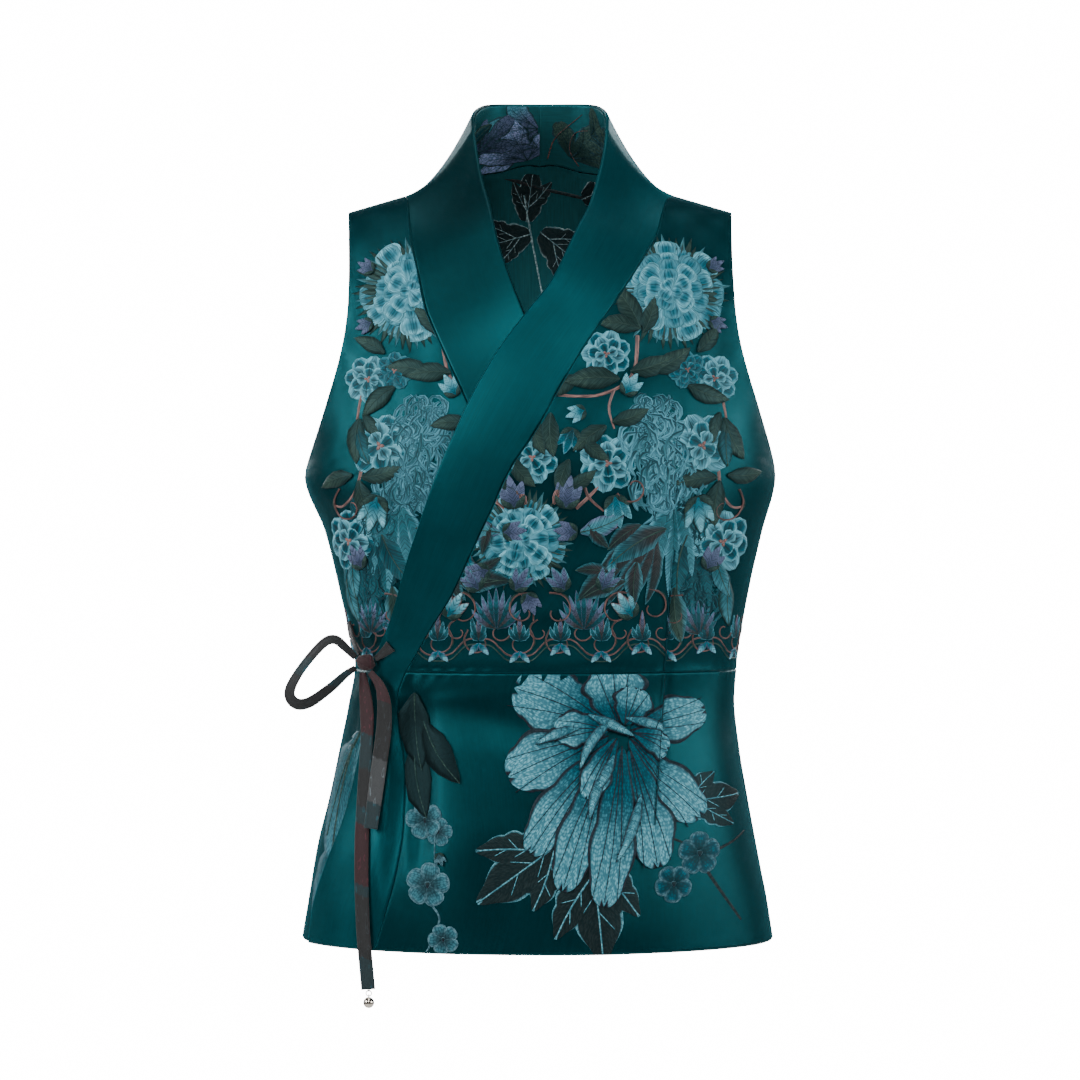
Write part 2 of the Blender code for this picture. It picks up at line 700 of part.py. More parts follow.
def make_bead(metal, collection):
    """The ring at the long tail's end and, hooked on it by an eye, the polished ball."""
    end = hanging(LONG_TAIL[-1])[0]
    center = Vector((RING_X, end.y, end.z - SEAM - RING_RADIUS - RING_WIRE))
    ring = wire_ring("bead_ring", center, RING_RADIUS, RING_WIRE, 0.0)
    pivot = center - Vector((0, 0, RING_RADIUS))
    eye = wire_ring("bead_eye", pivot, EYE_RADIUS, EYE_WIRE, pi / 2)
    bpy.ops.mesh.primitive_uv_sphere_add(
        segments=24, ring_count=14, radius=BALL_RADIUS, location=pivot - Vector((0, 0, BALL_DROP))
    )
    ball = bpy.context.object
    ball.name = "bead"
    hold = ball.modifiers.new("eye", "BOOLEAN")
    hold.operation = "UNION"
    hold.object = eye
    for piece in (ring, ball):
        piece.data.materials.append(metal)
        piece.data.shade_smooth()
        move_to(piece, collection)
    return eye


def move_to(piece, collection):
    for owner in list(piece.users_collection):
        owner.objects.unlink(piece)
    collection.objects.link(piece)


def main():
    for old in list(bpy.data.objects):
        bpy.data.objects.remove(old, do_unlink=True)
    waistcoat = bpy.data.collections.new("wrap_waistcoat")
    cutters = bpy.data.collections.new("joined_shapes")
    bpy.context.scene.collection.children.link(waistcoat)
    bpy.context.scene.collection.children.link(cutters)

    satin = material("satin", SATIN, 0.38)
    dark_satin = material("dark_satin", DARK_SATIN, 0.42)
    leafy = material("leafy_lining", LEAFY, 0.5)
    ribbon_look = material("ribbon", RIBBON, 0.7)
    maroon = material("maroon_ribbon", MAROON, 0.7)
    metal = material("pale_gold", PALE_GOLD, 0.15, 1.0)

    make_back(satin, leafy, waistcoat)
    make_fronts("under", "right", dark_satin, waistcoat)
    make_fronts("over", "left", satin, waistcoat)
    make_facings(leafy, waistcoat)
    make_tie(ribbon_look, maroon, waistcoat)
    eye = make_bead(metal, waistcoat)
    move_to(eye, cutters)
    eye.hide_render = True
    eye.display_type = "WIRE"


main()
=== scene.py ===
"""The looks of the wrap waistcoat: fine cloth, embroidery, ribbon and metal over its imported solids.

Units are metres and +Z is up. The wearer faces -Y and the wearer's left is +X. Cloth is placed on
the part's plain figure by an angle round the body and a level, as in the part's own source, and
every function here takes whole arrays of them.
"""

import json
from math import cos, pi, radians, sin

import bmesh
import bpy
import numpy as np
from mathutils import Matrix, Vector

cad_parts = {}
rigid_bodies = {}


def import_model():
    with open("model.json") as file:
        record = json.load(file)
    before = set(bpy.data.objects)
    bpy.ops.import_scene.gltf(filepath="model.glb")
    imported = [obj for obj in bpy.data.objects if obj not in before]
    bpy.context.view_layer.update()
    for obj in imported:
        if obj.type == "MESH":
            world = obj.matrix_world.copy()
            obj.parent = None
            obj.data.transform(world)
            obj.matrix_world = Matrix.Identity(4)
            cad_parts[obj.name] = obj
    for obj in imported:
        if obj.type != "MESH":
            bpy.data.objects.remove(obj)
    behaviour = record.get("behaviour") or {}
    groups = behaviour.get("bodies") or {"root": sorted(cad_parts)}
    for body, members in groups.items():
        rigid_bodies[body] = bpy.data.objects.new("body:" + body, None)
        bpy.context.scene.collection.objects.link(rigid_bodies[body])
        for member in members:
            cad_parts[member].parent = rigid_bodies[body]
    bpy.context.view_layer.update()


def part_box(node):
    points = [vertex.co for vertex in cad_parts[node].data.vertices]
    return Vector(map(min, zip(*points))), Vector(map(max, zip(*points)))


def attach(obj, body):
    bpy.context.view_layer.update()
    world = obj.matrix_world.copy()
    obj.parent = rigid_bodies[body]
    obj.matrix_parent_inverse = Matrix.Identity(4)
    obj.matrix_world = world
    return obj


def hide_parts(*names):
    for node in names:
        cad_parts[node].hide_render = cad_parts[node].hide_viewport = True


for old in list(bpy.data.objects):
    bpy.data.objects.remove(old, do_unlink=True)
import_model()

# The two fronts, and how a form of the wearer's left is turned into each one's own side.
SIDES = {"over": "left", "under": "right"}
MIRROR = {"over": (1, 1, 1), "under": (-1, 1, 1)}

# Walls of the cloth and the gap under its lining. Sewn edges lap, so their seam is below zero.
WALL = 0.002
BAND_WALL = 0.0024
LINING_WALL = 0.001
LINING_GAP = 0.0006
SEAM = -0.0003

# How high the overlap passes over the other front, and how it rises from its side and shoulder.
OVERLAP_LIFT = 0.004
OVERLAP_TURN = radians(32)
OVERLAP_DROP = 0.085

# Levels of the body's places, and the shape of its shoulders, sides and neck.
UNDERARM = -0.223
WAIST = -0.377
HEM = -0.591
NECK_POINT = 0.108
SHOULDER_SLOPE = 0.287
SHOULDER_ROLL = 3.0
SIDE_ROUND = 0.92
NECK_RISE = {"front": 0.03, "back": 0.090}

# Small steps, in angle and level, to the neighbours that give the figure its outward direction.
SWING, DROP = 0.004, 0.0004

# How the fronts and their bands share out the bodice's length: the armhole takes some of its rows,
# which crowd toward the shoulder.
BODICE_ROWS = 20
ARMHOLE_ROWS = 11
ROW_CROWDING = 1.8
BAND_WIDTH = 0.058
BAND_START = SEAM / BAND_WIDTH
BAND_STEP = 0.01

# Where the back's columns turn from the neck seam to the shoulders, as a share of half its width.
NECK_CORNER = 0.7

# The figure at each level: half widths of its right and left sides, depths of front and back.
LEVEL, RIGHT, LEFT, FRONT, BACK = range(5)
FIGURE = (
    (-0.591, 0.19, 0.186, 0.112, 0.109),
    (-0.556, 0.1844, 0.1804, 0.1105, 0.1085),
    (-0.518, 0.178, 0.1732, 0.1075, 0.106),
    (-0.479, 0.1684, 0.166, 0.101, 0.099),
    (-0.441, 0.1604, 0.1596, 0.0945, 0.09),
    (-0.402, 0.1524, 0.1556, 0.0885, 0.083),
    (-0.374, 0.148, 0.157, 0.0885, 0.0825),
    (-0.354, 0.152, 0.1596, 0.093, 0.084),
    (-0.306, 0.162, 0.1684, 0.103, 0.089),
    (-0.268, 0.1716, 0.1772, 0.11, 0.093),
    (-0.223, 0.188, 0.188, 0.113, 0.098),
    (-0.15, 0.1885, 0.1885, 0.103, 0.103),
    (-0.1, 0.1885, 0.1885, 0.0915, 0.103),
    (-0.05, 0.1885, 0.1885, 0.077, 0.099),
    (0.0, 0.1885, 0.1885, 0.06, 0.094),
)

# Distance of the armhole's edge from the centre at each level.
ARMHOLE_LEVEL, ARMHOLE_X = range(2)
ARMHOLE = (
    (-0.223, 0.188),
    (-0.2, 0.18),
    (-0.18, 0.1732),
    (-0.16, 0.167),
    (-0.14, 0.161),
    (-0.12, 0.156),
    (-0.1, 0.1526),
    (-0.08, 0.1509),
    (-0.06, 0.1506),
    (-0.02, 0.1517),
    (0.0, 0.1528),
)

# Level of the back neck seam at each distance from the centre back.
NECK_OUT, NECK_LEVEL = range(2)
NECK_SEAM = (
    (0.0, -0.0564),
    (0.03, -0.0455),
    (0.055, -0.0275),
    (0.08, -0.009),
    (0.095, -0.002),
    (0.108, 0.0),
)

# Free edge of the band behind the neck. The share runs from the centre back to the shoulder, and
# the sag hollows the band below the straight line from its seam to its edge.
SHARE, NECK_X, NECK_Y, NECK_Z, NECK_SAG = range(5)
NECK_EDGE = (
    (0.0, 0.0, 0.066, 0.084, 0.0),
    (0.22, 0.027, 0.0645, 0.0838, 0.0),
    (0.42, 0.044, 0.054, 0.0818, 0.004),
    (0.62, 0.052, 0.037, 0.0765, 0.01),
    (0.82, 0.0545, 0.018, 0.0685, 0.016),
    (1.0, 0.0535, 0.0, 0.056, 0.018),
)

# Each band down the front: its seam, its free edge, how far it hugs the figure (0 to 1), and sag.
# The last column is the level of its seam on the figure, which keyed() adds.
SEAM_X, SEAM_Z, EDGE_X, EDGE_Y, EDGE_Z, HUG, SAG, BAND_LEVEL = range(8)
LEFT_BAND = (
    (0.108, 0.0, 0.0535, 0.0, 0.056, 0.0, 0.018),
    (0.1005, -0.0055, 0.051, -0.015, 0.036, 0.0, 0.017),
    (0.0965, -0.017, 0.045, -0.036, 0.01, 0.1, 0.012),
    (0.0925, -0.032, 0.0375, -0.054, -0.014, 0.4, 0.006),
    (0.0835, -0.048, 0.03, -0.07, -0.029, 0.8, 0.002),
    (0.0757, -0.0613, 0.0235, -0.08, -0.043, 1.0, 0.0),
    (0.053, -0.097, 0.0085, -0.09, -0.0745, 1.0, 0.0),
    (0.0308, -0.1301, -0.0107, -0.099, -0.1004, 1.0, 0.0),
    (0.0137, -0.1597, -0.0306, -0.103, -0.127, 1.0, 0.0),
    (-0.0034, -0.1915, -0.051, -0.106, -0.162, 1.0, 0.0),
    (-0.0228, -0.2207, -0.068, -0.108, -0.199, 1.0, 0.0),
    (-0.0373, -0.2522, -0.081, -0.105, -0.23, 1.0, 0.0),
    (-0.0521, -0.2835, -0.0918, -0.1, -0.261, 1.0, 0.0),
    (-0.068, -0.318, -0.1028, -0.09, -0.2936, 1.0, 0.0),
    (-0.082, -0.3401, -0.11, -0.08, -0.32, 1.0, 0.0),
    (-0.0935, -0.36, -0.118, -0.07, -0.346, 1.0, 0.0),
    (-0.104, -0.38, -0.1275, -0.06, -0.369, 1.0, 0.0),
    (-0.1095, -0.399, -0.133, -0.055, -0.393, 1.0, 0.0),
    (-0.1082, -0.425, -0.1362, -0.055, -0.425, 1.0, 0.0),
    (-0.105, -0.46, -0.143, -0.055, -0.46, 1.0, 0.0),
    (-0.1055, -0.495, -0.1525, -0.055, -0.495, 1.0, 0.0),
    (-0.1095, -0.53, -0.1662, -0.05, -0.53, 1.0, 0.0),
    (-0.118, -0.565, -0.1765, -0.045, -0.565, 1.0, 0.0),
    (-0.1265, -0.591, -0.1795, -0.045, -0.591, 1.0, 0.0),
)
RIGHT_BAND = (
    (-0.108, 0.0, -0.0535, 0.0, 0.056, 0.0, 0.018),
    (-0.1048, -0.007, -0.0505, -0.015, 0.036, 0.0, 0.017),
    (-0.1036, -0.02, -0.0462, -0.034, 0.012, 0.1, 0.012),
    (-0.1015, -0.035, -0.0405, -0.052, -0.008, 0.4, 0.006),
    (-0.0985, -0.05, -0.036, -0.068, -0.027, 0.8, 0.002),
    (-0.0954, -0.0629, -0.0325, -0.076, -0.042, 1.0, 0.0),
    (-0.0886, -0.0938, -0.023, -0.085, -0.071, 1.0, 0.0),
    (-0.0771, -0.1217, -0.0135, -0.093, -0.095, 1.0, 0.0),
    (-0.0551, -0.17, 0.0035, -0.1, -0.14, 1.0, 0.0),
    (-0.035, -0.215, 0.023, -0.105, -0.185, 1.0, 0.0),
    (-0.008, -0.27, 0.048, -0.105, -0.243, 1.0, 0.0),
    (0.02, -0.33, 0.074, -0.095, -0.308, 1.0, 0.0),
    (0.04, -0.377, 0.094, -0.085, -0.364, 1.0, 0.0),
    (0.048, -0.43, 0.105, -0.08, -0.425, 1.0, 0.0),
    (0.056, -0.5, 0.113, -0.085, -0.499, 1.0, 0.0),
    (0.066, -0.591, 0.123, -0.085, -0.591, 1.0, 0.0),
)

# The largest folds of the fronts, each along a straight line: its ends, width and depth.
# A fold with a negative depth is a ridge. A valley this deep also presses in the front below.
FROM_X, FROM_Z, TO_X, TO_Z, SPREAD, DEPTH = range(6)
SHARED_DEPTH = 0.004
SHARED_SPREAD = 1.6
FOLDS = (
    (-0.0945, -0.408, -0.092, -0.518, 0.0105, 0.0068),
    (-0.1215, -0.405, -0.125, -0.56, 0.013, -0.0025),
    (-0.115, -0.345, -0.12, -0.38, 0.011, -0.0025),
    (-0.09, -0.378, -0.035, -0.364, 0.012, 0.001),
    (-0.07, -0.395, 0.01, -0.43, 0.015, 0.001),
    (0.04, -0.5, 0.052, -0.591, 0.022, -0.003),
    (-0.03, -0.51, -0.04, -0.591, 0.02, 0.001),
)

# Ribbons of the tie. Those on the cloth give x, z and their height over it. The loop stands free, so
# it gives x, y and z there. The turn swings a ribbon's face about its own run, in degrees.
FORWARD = np.array((0.0, -1.0, 0.0))
KNOT = (-0.136, -0.0585, -0.37)
KNOT_RADII = (0.0078, 0.0056, 0.0074)
RIBBON_WALL = 0.0016
RIBBON_STEP = 0.01
SEEKING_STEPS = 12
STEEPEST = 0.3
HANG_X, HANG_Z, OVER, WIDTH, TURN = range(5)
SIDE_TIE = (
    (-0.1515, -0.34, 0.0016, 0.01, 0.0),
    (-0.1497, -0.3465, 0.0024, 0.009, 0.0),
    (-0.1468, -0.354, 0.007, 0.0066, 0.0),
    (-0.141, -0.3632, 0.0146, 0.0044, 0.0),
)
FRONT_TIE = (
    (-0.116, -0.357, 0.0016, 0.01, 0.0),
    (-0.1215, -0.362, 0.0022, 0.007, 0.0),
    (-0.1282, -0.3672, 0.0026, 0.0042, 0.0),
)
LONG_TAIL = (
    (-0.1385, -0.3779, 0.0097, 0.005, 0.0),
    (-0.1372, -0.39, 0.0075, 0.009, 0.0),
    (-0.1352, -0.408, 0.0058, 0.012, 6.0),
    (-0.135, -0.43, 0.0042, 0.011, 8.0),
    (-0.1372, -0.476, 0.004, 0.0105, 0.0),
    (-0.1379, -0.506, 0.0044, 0.011, -6.0),
    (-0.1378, -0.537, 0.0038, 0.0112, 0.0),
    (-0.1366, -0.57, 0.0034, 0.0114, 4.0),
    (-0.135, -0.591, 0.0034, 0.0114, 4.0),
    (-0.1322, -0.6205, 0.003, 0.0112, 0.0),
)
SHORT_TAIL = (
    (-0.1325, -0.3775, 0.0068, 0.0046, 0.0),
    (-0.1245, -0.388, 0.0078, 0.008, 0.0),
    (-0.121, -0.402, 0.0078, 0.011, -8.0),
    (-0.1212, -0.422, 0.0074, 0.012, -10.0),
    (-0.124, -0.4455, 0.0074, 0.0124, 0.0),
    (-0.127, -0.469, 0.0074, 0.0124, 4.0),
    (-0.1306, -0.497, 0.0076, 0.011, 0.0),
)
LOOP = (
    (-0.1441, -0.0585, -0.3664, 0.0044, 20.0),
    (-0.151, -0.06, -0.359, 0.007, 32.0),
    (-0.16, -0.0615, -0.352, 0.009, 42.0),
    (-0.17, -0.0625, -0.356, 0.0105, 50.0),
    (-0.1868, -0.0635, -0.376, 0.0105, 50.0),
    (-0.195, -0.064, -0.3925, 0.0105, 38.0),
    (-0.1905, -0.0635, -0.4015, 0.0105, 30.0),
    (-0.18, -0.0625, -0.401, 0.0105, 38.0),
    (-0.164, -0.0605, -0.39, 0.0095, 42.0),
    (-0.152, -0.059, -0.3795, 0.0065, 32.0),
    (-0.144, -0.058, -0.3742, 0.0044, 20.0),
)

# The ring and the ball that swings from its lowest point.
RING_RADIUS = 0.0021
RING_WIRE = 0.0004
EYE_RADIUS = 0.0011
EYE_WIRE = 0.00035
BALL_RADIUS = 0.0042
BALL_DROP = 0.0051

# Soft creases of each panel, in the form of the folds above.
CREASES = {
    "over": (
        (0.1048, -0.196, 0.0965, -0.3737, 0.0024, 0.0019),
        (0.0965, -0.379, 0.0873, -0.4944, 0.0024, 0.0019),
        (0.145, -0.19, 0.12, -0.26, 0.012, 0.0012),
        (-0.06, -0.348, 0.02, -0.325, 0.009, 0.001),
        (0.03, -0.366, 0.09, -0.356, 0.007, 0.0007),
        (0.15, -0.41, 0.17, -0.53, 0.015, 0.0014),
        (-0.02, -0.415, 0.05, -0.44, 0.014, 0.001),
        (0.01, -0.54, 0.02, -0.591, 0.02, -0.0016),
        (0.125, -0.07, 0.142, -0.13, 0.01, 0.001),
        (-0.1, -0.395, -0.112, -0.53, 0.007, 0.0034),
        (0.06, -0.52, 0.15, -0.44, 0.016, -0.001),
        (-0.05, -0.42, -0.02, -0.56, 0.015, 0.0012),
    ),
    "under": (
        (-0.13, -0.17, -0.16, -0.23, 0.011, 0.0012),
        (-0.165, -0.33, -0.138, -0.36, 0.007, 0.0012),
        (-0.16, -0.395, -0.142, -0.37, 0.007, 0.0012),
        (-0.162, -0.43, -0.176, -0.56, 0.011, 0.0012),
        (-0.126, -0.06, -0.142, -0.13, 0.01, 0.001),
    ),
    "back": (
        (-0.045, -0.23, -0.055, -0.495, 0.0024, 0.0011),
        (0.045, -0.23, 0.055, -0.495, 0.0024, 0.0011),
        (-0.145, -0.18, -0.11, -0.26, 0.012, 0.0013),
        (0.145, -0.18, 0.11, -0.26, 0.012, 0.0013),
        (-0.1, -0.33, 0.02, -0.35, 0.011, 0.0012),
        (0.12, -0.345, 0.01, -0.33, 0.01, 0.001),
        (-0.11, -0.43, -0.14, -0.57, 0.016, 0.002),
        (0.11, -0.43, 0.14, -0.57, 0.016, 0.002),
        (0.0, -0.5, 0.0, -0.591, 0.02, -0.002),
    ),
}

# Puckers at the waist seam: their height, space and reach, and the lengths of seam they run along.
PUCKER = 0.00022
PUCKER_SPACE = 0.0082
PUCKER_REACH = 0.007
FRONT_WAIST, BACK_WAIST, BACK_SKIRT_WAIST = 0.2, 0.3, 0.4

# Names of looks for the nodes, by the first word of a node's name. No piece here takes its look from this
# table.
SLOTS = {
    "bodice": "embroidered_satin",
    "peplum": "embroidered_satin",
    "neckband": "band_satin",
    "back": "leaf_lining",
    "collar": "leaf_lining",
    "tie": "ribbon",
    "bead": "pale_metal",
}

# Colours of the cloth, the ribbon and the metal.
TEAL = (0.0002, 0.013, 0.017)
# The under band is the same satin made darker: painted shade for the shadow it lies in.
BAND_TEAL_PAINTED_SHADE = (0.0001, 0.0065, 0.0085)
# The over band is the ground's satin made lighter: painted light, where the band catches the lamps.
BAND_TEAL_PAINTED_LIGHT = (0.0003, 0.025, 0.032)
TEAL_RIBBON = (0.0005, 0.017, 0.022)
CHARCOAL = (0.006, 0.0075, 0.0085)
GREY_PLUSH = (0.038, 0.043, 0.046)
MAROON = (0.023, 0.0026, 0.0055)
PALE_GOLD = (0.86, 0.78, 0.66)
LINING_TEAL = (0.01, 0.06, 0.068)

# How finely the satin's twill and the woven patterns' dots repeat, across and along the cloth.
TWILL = (9000, 5200, 0)
STIPPLE = (560, 380, 1)

# How a sheet's edges are rounded, how its lines crowd toward them, and the space of its mesh.
EDGE_ROUND = 0.0013
ROUNDING = 0.42
CROWDING = 0.6
FINE, RIBBON_FINE = 0.003, 0.0009

# The lining starts below the neck by a share of its length. The facings stay back from the band's
# edges by a share of its width. Both bands and facings lap at the centre back.
LINING_TOP = 0.005
FACING_INSET = 0.015
CENTRE_LAP = 0.0003

# Columns of a sheet's flat grid.
ACROSS, ALONG, INNER = range(3)

# A crease down each ribbon, which is faint at its full width, and the slant of the knot's turns.
RIBBON_FULL = 0.011
RIBBON_CREASE = 0.00035
KNOT_LEAN = radians(28)

# Stitches that hold the ring: where each crosses it, the size and rise of its loop, and its thread.
STITCHES = (-0.0007, 0.0, 0.0007)
STITCH_LOOP, STITCH_RISE, STITCH_THREAD = 0.0011, 0.0004, 0.00022

# Where each ribbon changes colour, from its top down: the height it starts at, and the colour. The
# borders between them slant.
DYE_SLANT = 0.35
DYES = {
    "ribbon_side": ((0, CHARCOAL),),
    "ribbon_front": ((0, CHARCOAL),),
    "ribbon_loop": ((0, CHARCOAL), (-0.372, TEAL_RIBBON), (-0.388, CHARCOAL)),
    "ribbon_long": (
        (0, MAROON), (-0.425, TEAL_RIBBON), (-0.452, CHARCOAL), (-0.482, TEAL_RIBBON),
        (-0.495, MAROON), (-0.541, TEAL_RIBBON), (-0.549, CHARCOAL), (-0.596, TEAL_RIBBON),
    ),
    "ribbon_short": ((0, MAROON), (-0.398, CHARCOAL), (-0.443, GREY_PLUSH), (-0.478, TEAL_RIBBON)),
    "knot": ((0, MAROON),),
}

# The picture's viewpoint, and the studio round it: its floor, its white surround and its lights.
EYE = (0.0, -2.4, -0.2744)
LENS, SENSOR = 100, 36
FLOOR, FLOOR_RADIUS = -1.42, 3.4
ROOM, ROOM_RISE = 6.0, 1.2
SURROUND_GLOW = 16.0
AMBIENT = 0.06
AIM = (0, 0, -0.25)
LIGHTS = (
    ("key", (-2.1, -1.1, 0.5), 1.1, 46),
    ("fill", (2.2, -1.0, 0.2), 1.2, 40),
    ("front", (-0.3, -2.3, 1.2), 0.8, 27),
    ("top", (0.0, -0.4, 1.6), 1.0, 9),
    ("rear_left", (-1.4, 1.6, 0.5), 1.0, 20),
    ("rear_right", (1.4, 1.6, 0.5), 1.0, 20),
)

# Thread colours.
PALE_THREAD = (0.15, 0.43, 0.52)
ICE = (0.1, 0.32, 0.41)
MIST_BLUE = (0.06, 0.22, 0.28)
MIST = (0.045, 0.175, 0.22)
SEA = (0.0006, 0.085, 0.125)
SEA_DARK = (0.0005, 0.024, 0.034)
SEA_GREY = (0.011, 0.08, 0.102)
SLATE = (0.1, 0.2, 0.24)
SLATE_DARK = (0.015, 0.04, 0.052)
OLIVE = (0.01, 0.023, 0.017)
OLIVE_LIGHT = (0.033, 0.058, 0.044)
OLIVE_LOOK = ((0.01, 0.021, 0.016), (0.026, 0.046, 0.035), (0.007, 0.015, 0.012))
COPPER = (0.15, 0.07, 0.062)
CORAL = (0.26, 0.13, 0.115)
LAVENDER = (0.09, 0.105, 0.19)
OFF_WHITE = (0.3, 0.4, 0.41)
LAVENDER_PALE = (0.3, 0.35, 0.58)
LAVENDER_DARK = (0.032, 0.038, 0.082)
PLUM = (0.02, 0.013, 0.022)
BROWN = (0.028, 0.02, 0.02)
# Near-black thread of the leaves in the valley beside the band: partly their own dark colour, partly
# painted shade of that valley.
SHADOW = (0.0012, 0.0016, 0.0018)
CHARCOAL_THREAD = (0.012, 0.015, 0.015)

# Sets of thread for a blade: at its root, at its tip and along its edge.
DUSKY = (BROWN, CHARCOAL_THREAD, SEA_GREY)
DUSKY_PALE = (BROWN, CHARCOAL_THREAD, MIST)
PLUM_LOOK = (SLATE_DARK, MIST, SLATE)
BRIGHT = (SEA, PALE_THREAD, ICE)
GREEN_LOOK = (SEA_DARK, SEA_GREY, OLIVE_LIGHT)
WING_GREEN = (OLIVE, OLIVE_LIGHT, SLATE_DARK)
VIOLET = (LAVENDER_DARK, LAVENDER, MIST)
SHADOWED = (SHADOW, SHADOW, SHADOW)

# Blades: where they are widest, how round they are, their lobes, how far they rise, the rows and
# columns of their mesh, how steeply their stitches slant, and the middle of a dark heart, if any.
BLADES = {
    "scale": (2.1, 0.42, 0, 0.0002, 9, 7, 0.0, 0.66),
    "ruffle": (1.9, 0.45, 3, 0.0002, 11, 7, 0.0, 0.5),
    "round": (1.6, 0.5, 0, 0.0005, 9, 7, 0.0, None),
    "leaf": (0.85, 0.95, 0, 0.0005, 8, 7, 1.1, None),
    "curl": (1.0, 0.4, 0, 0.0005, 8, 5, 0.0, None),
    "saw": (0.75, 0.7, 4, 0.0003, 25, 19, 1.1, None),
    "sliver": (1.2, 0.9, 0, 0.0003, 6, 5, 0.0, None),
    "lobed": (1.75, 0.42, 3, 0.0001, 31, 23, 0.0, None),
}

# A blade's mesh has a narrow rim and crowds toward the tip. Its outline is coloured from a share of
# its half width on, and from a share of its length, which is larger where it has many rows. Its
# outermost thread sinks into the cloth.
RIM = 0.03
TOWARD_TIP = 1.4
OUTLINE_FROM = 0.86
BROAD_ROWS = 20
NARROW_TIP, BROAD_TIP = 0.9, 0.985
THREAD_SINK = 0.00035

# Heights that keep overlapping threads apart: of each row of petals, of every other petal in a row,
# of each petal of the large peony, of one motif over the last, and of each kind over the others.
LAYER = 0.0003
NEIGHBOUR = 0.00012
PETAL_LAYER = 0.00022
MOTIF_STEP = 0.0001
MOTIF_LEVELS = 6
LIFTS = {"leaf": 0.0009, "bud": 0.001, "blossom": 0.0003, "scroll": 0.0008}

# How far embroidery stays from a panel's edges: an angle at its sides, a height at its top and
# bottom, a height under the neck seam, and shares of a facing's length and width.
PANEL_MARGIN = 0.006
PANEL_EDGE = 0.001
NECK_MARGIN = 0.004
FACING_ENDS = (0.004, 0.985)
FACING_MARGIN = 0.012

# The share of the half width past which a pattern goes on round the side at an even pace.
EVEN_FROM = 0.8
CHANCE = np.random.default_rng(7)

# Rings of a pompom, from the outside in: how many, where they start, how long and how wide.
POMPOM_RINGS = (
    (11, 0.46, 0.6, 0.56),
    (10, 0.3, 0.54, 0.52),
    (8, 0.14, 0.5, 0.48),
    (5, 0.02, 0.44, 0.44),
    (3, -0.06, 0.32, 0.38),
)

# The overlap's fish-eye dart, from its upper point to its lower one, the cloth that it takes in, and
# the width of its sewn line and its height over the bodice and the skirt. That line is dark thread,
# partly the dart's seam and partly painted shade along it.
DART_X, DART_Z = range(2)
DART = ((0.1048, -0.1976), (0.0965, -0.3737), (0.0873, -0.4944))
DART_TAKE = 0.012
DART_SHADE_LINE = 0.0009
DART_RISE, SKIRT_DART_RISE = 0.0009, 0.0025

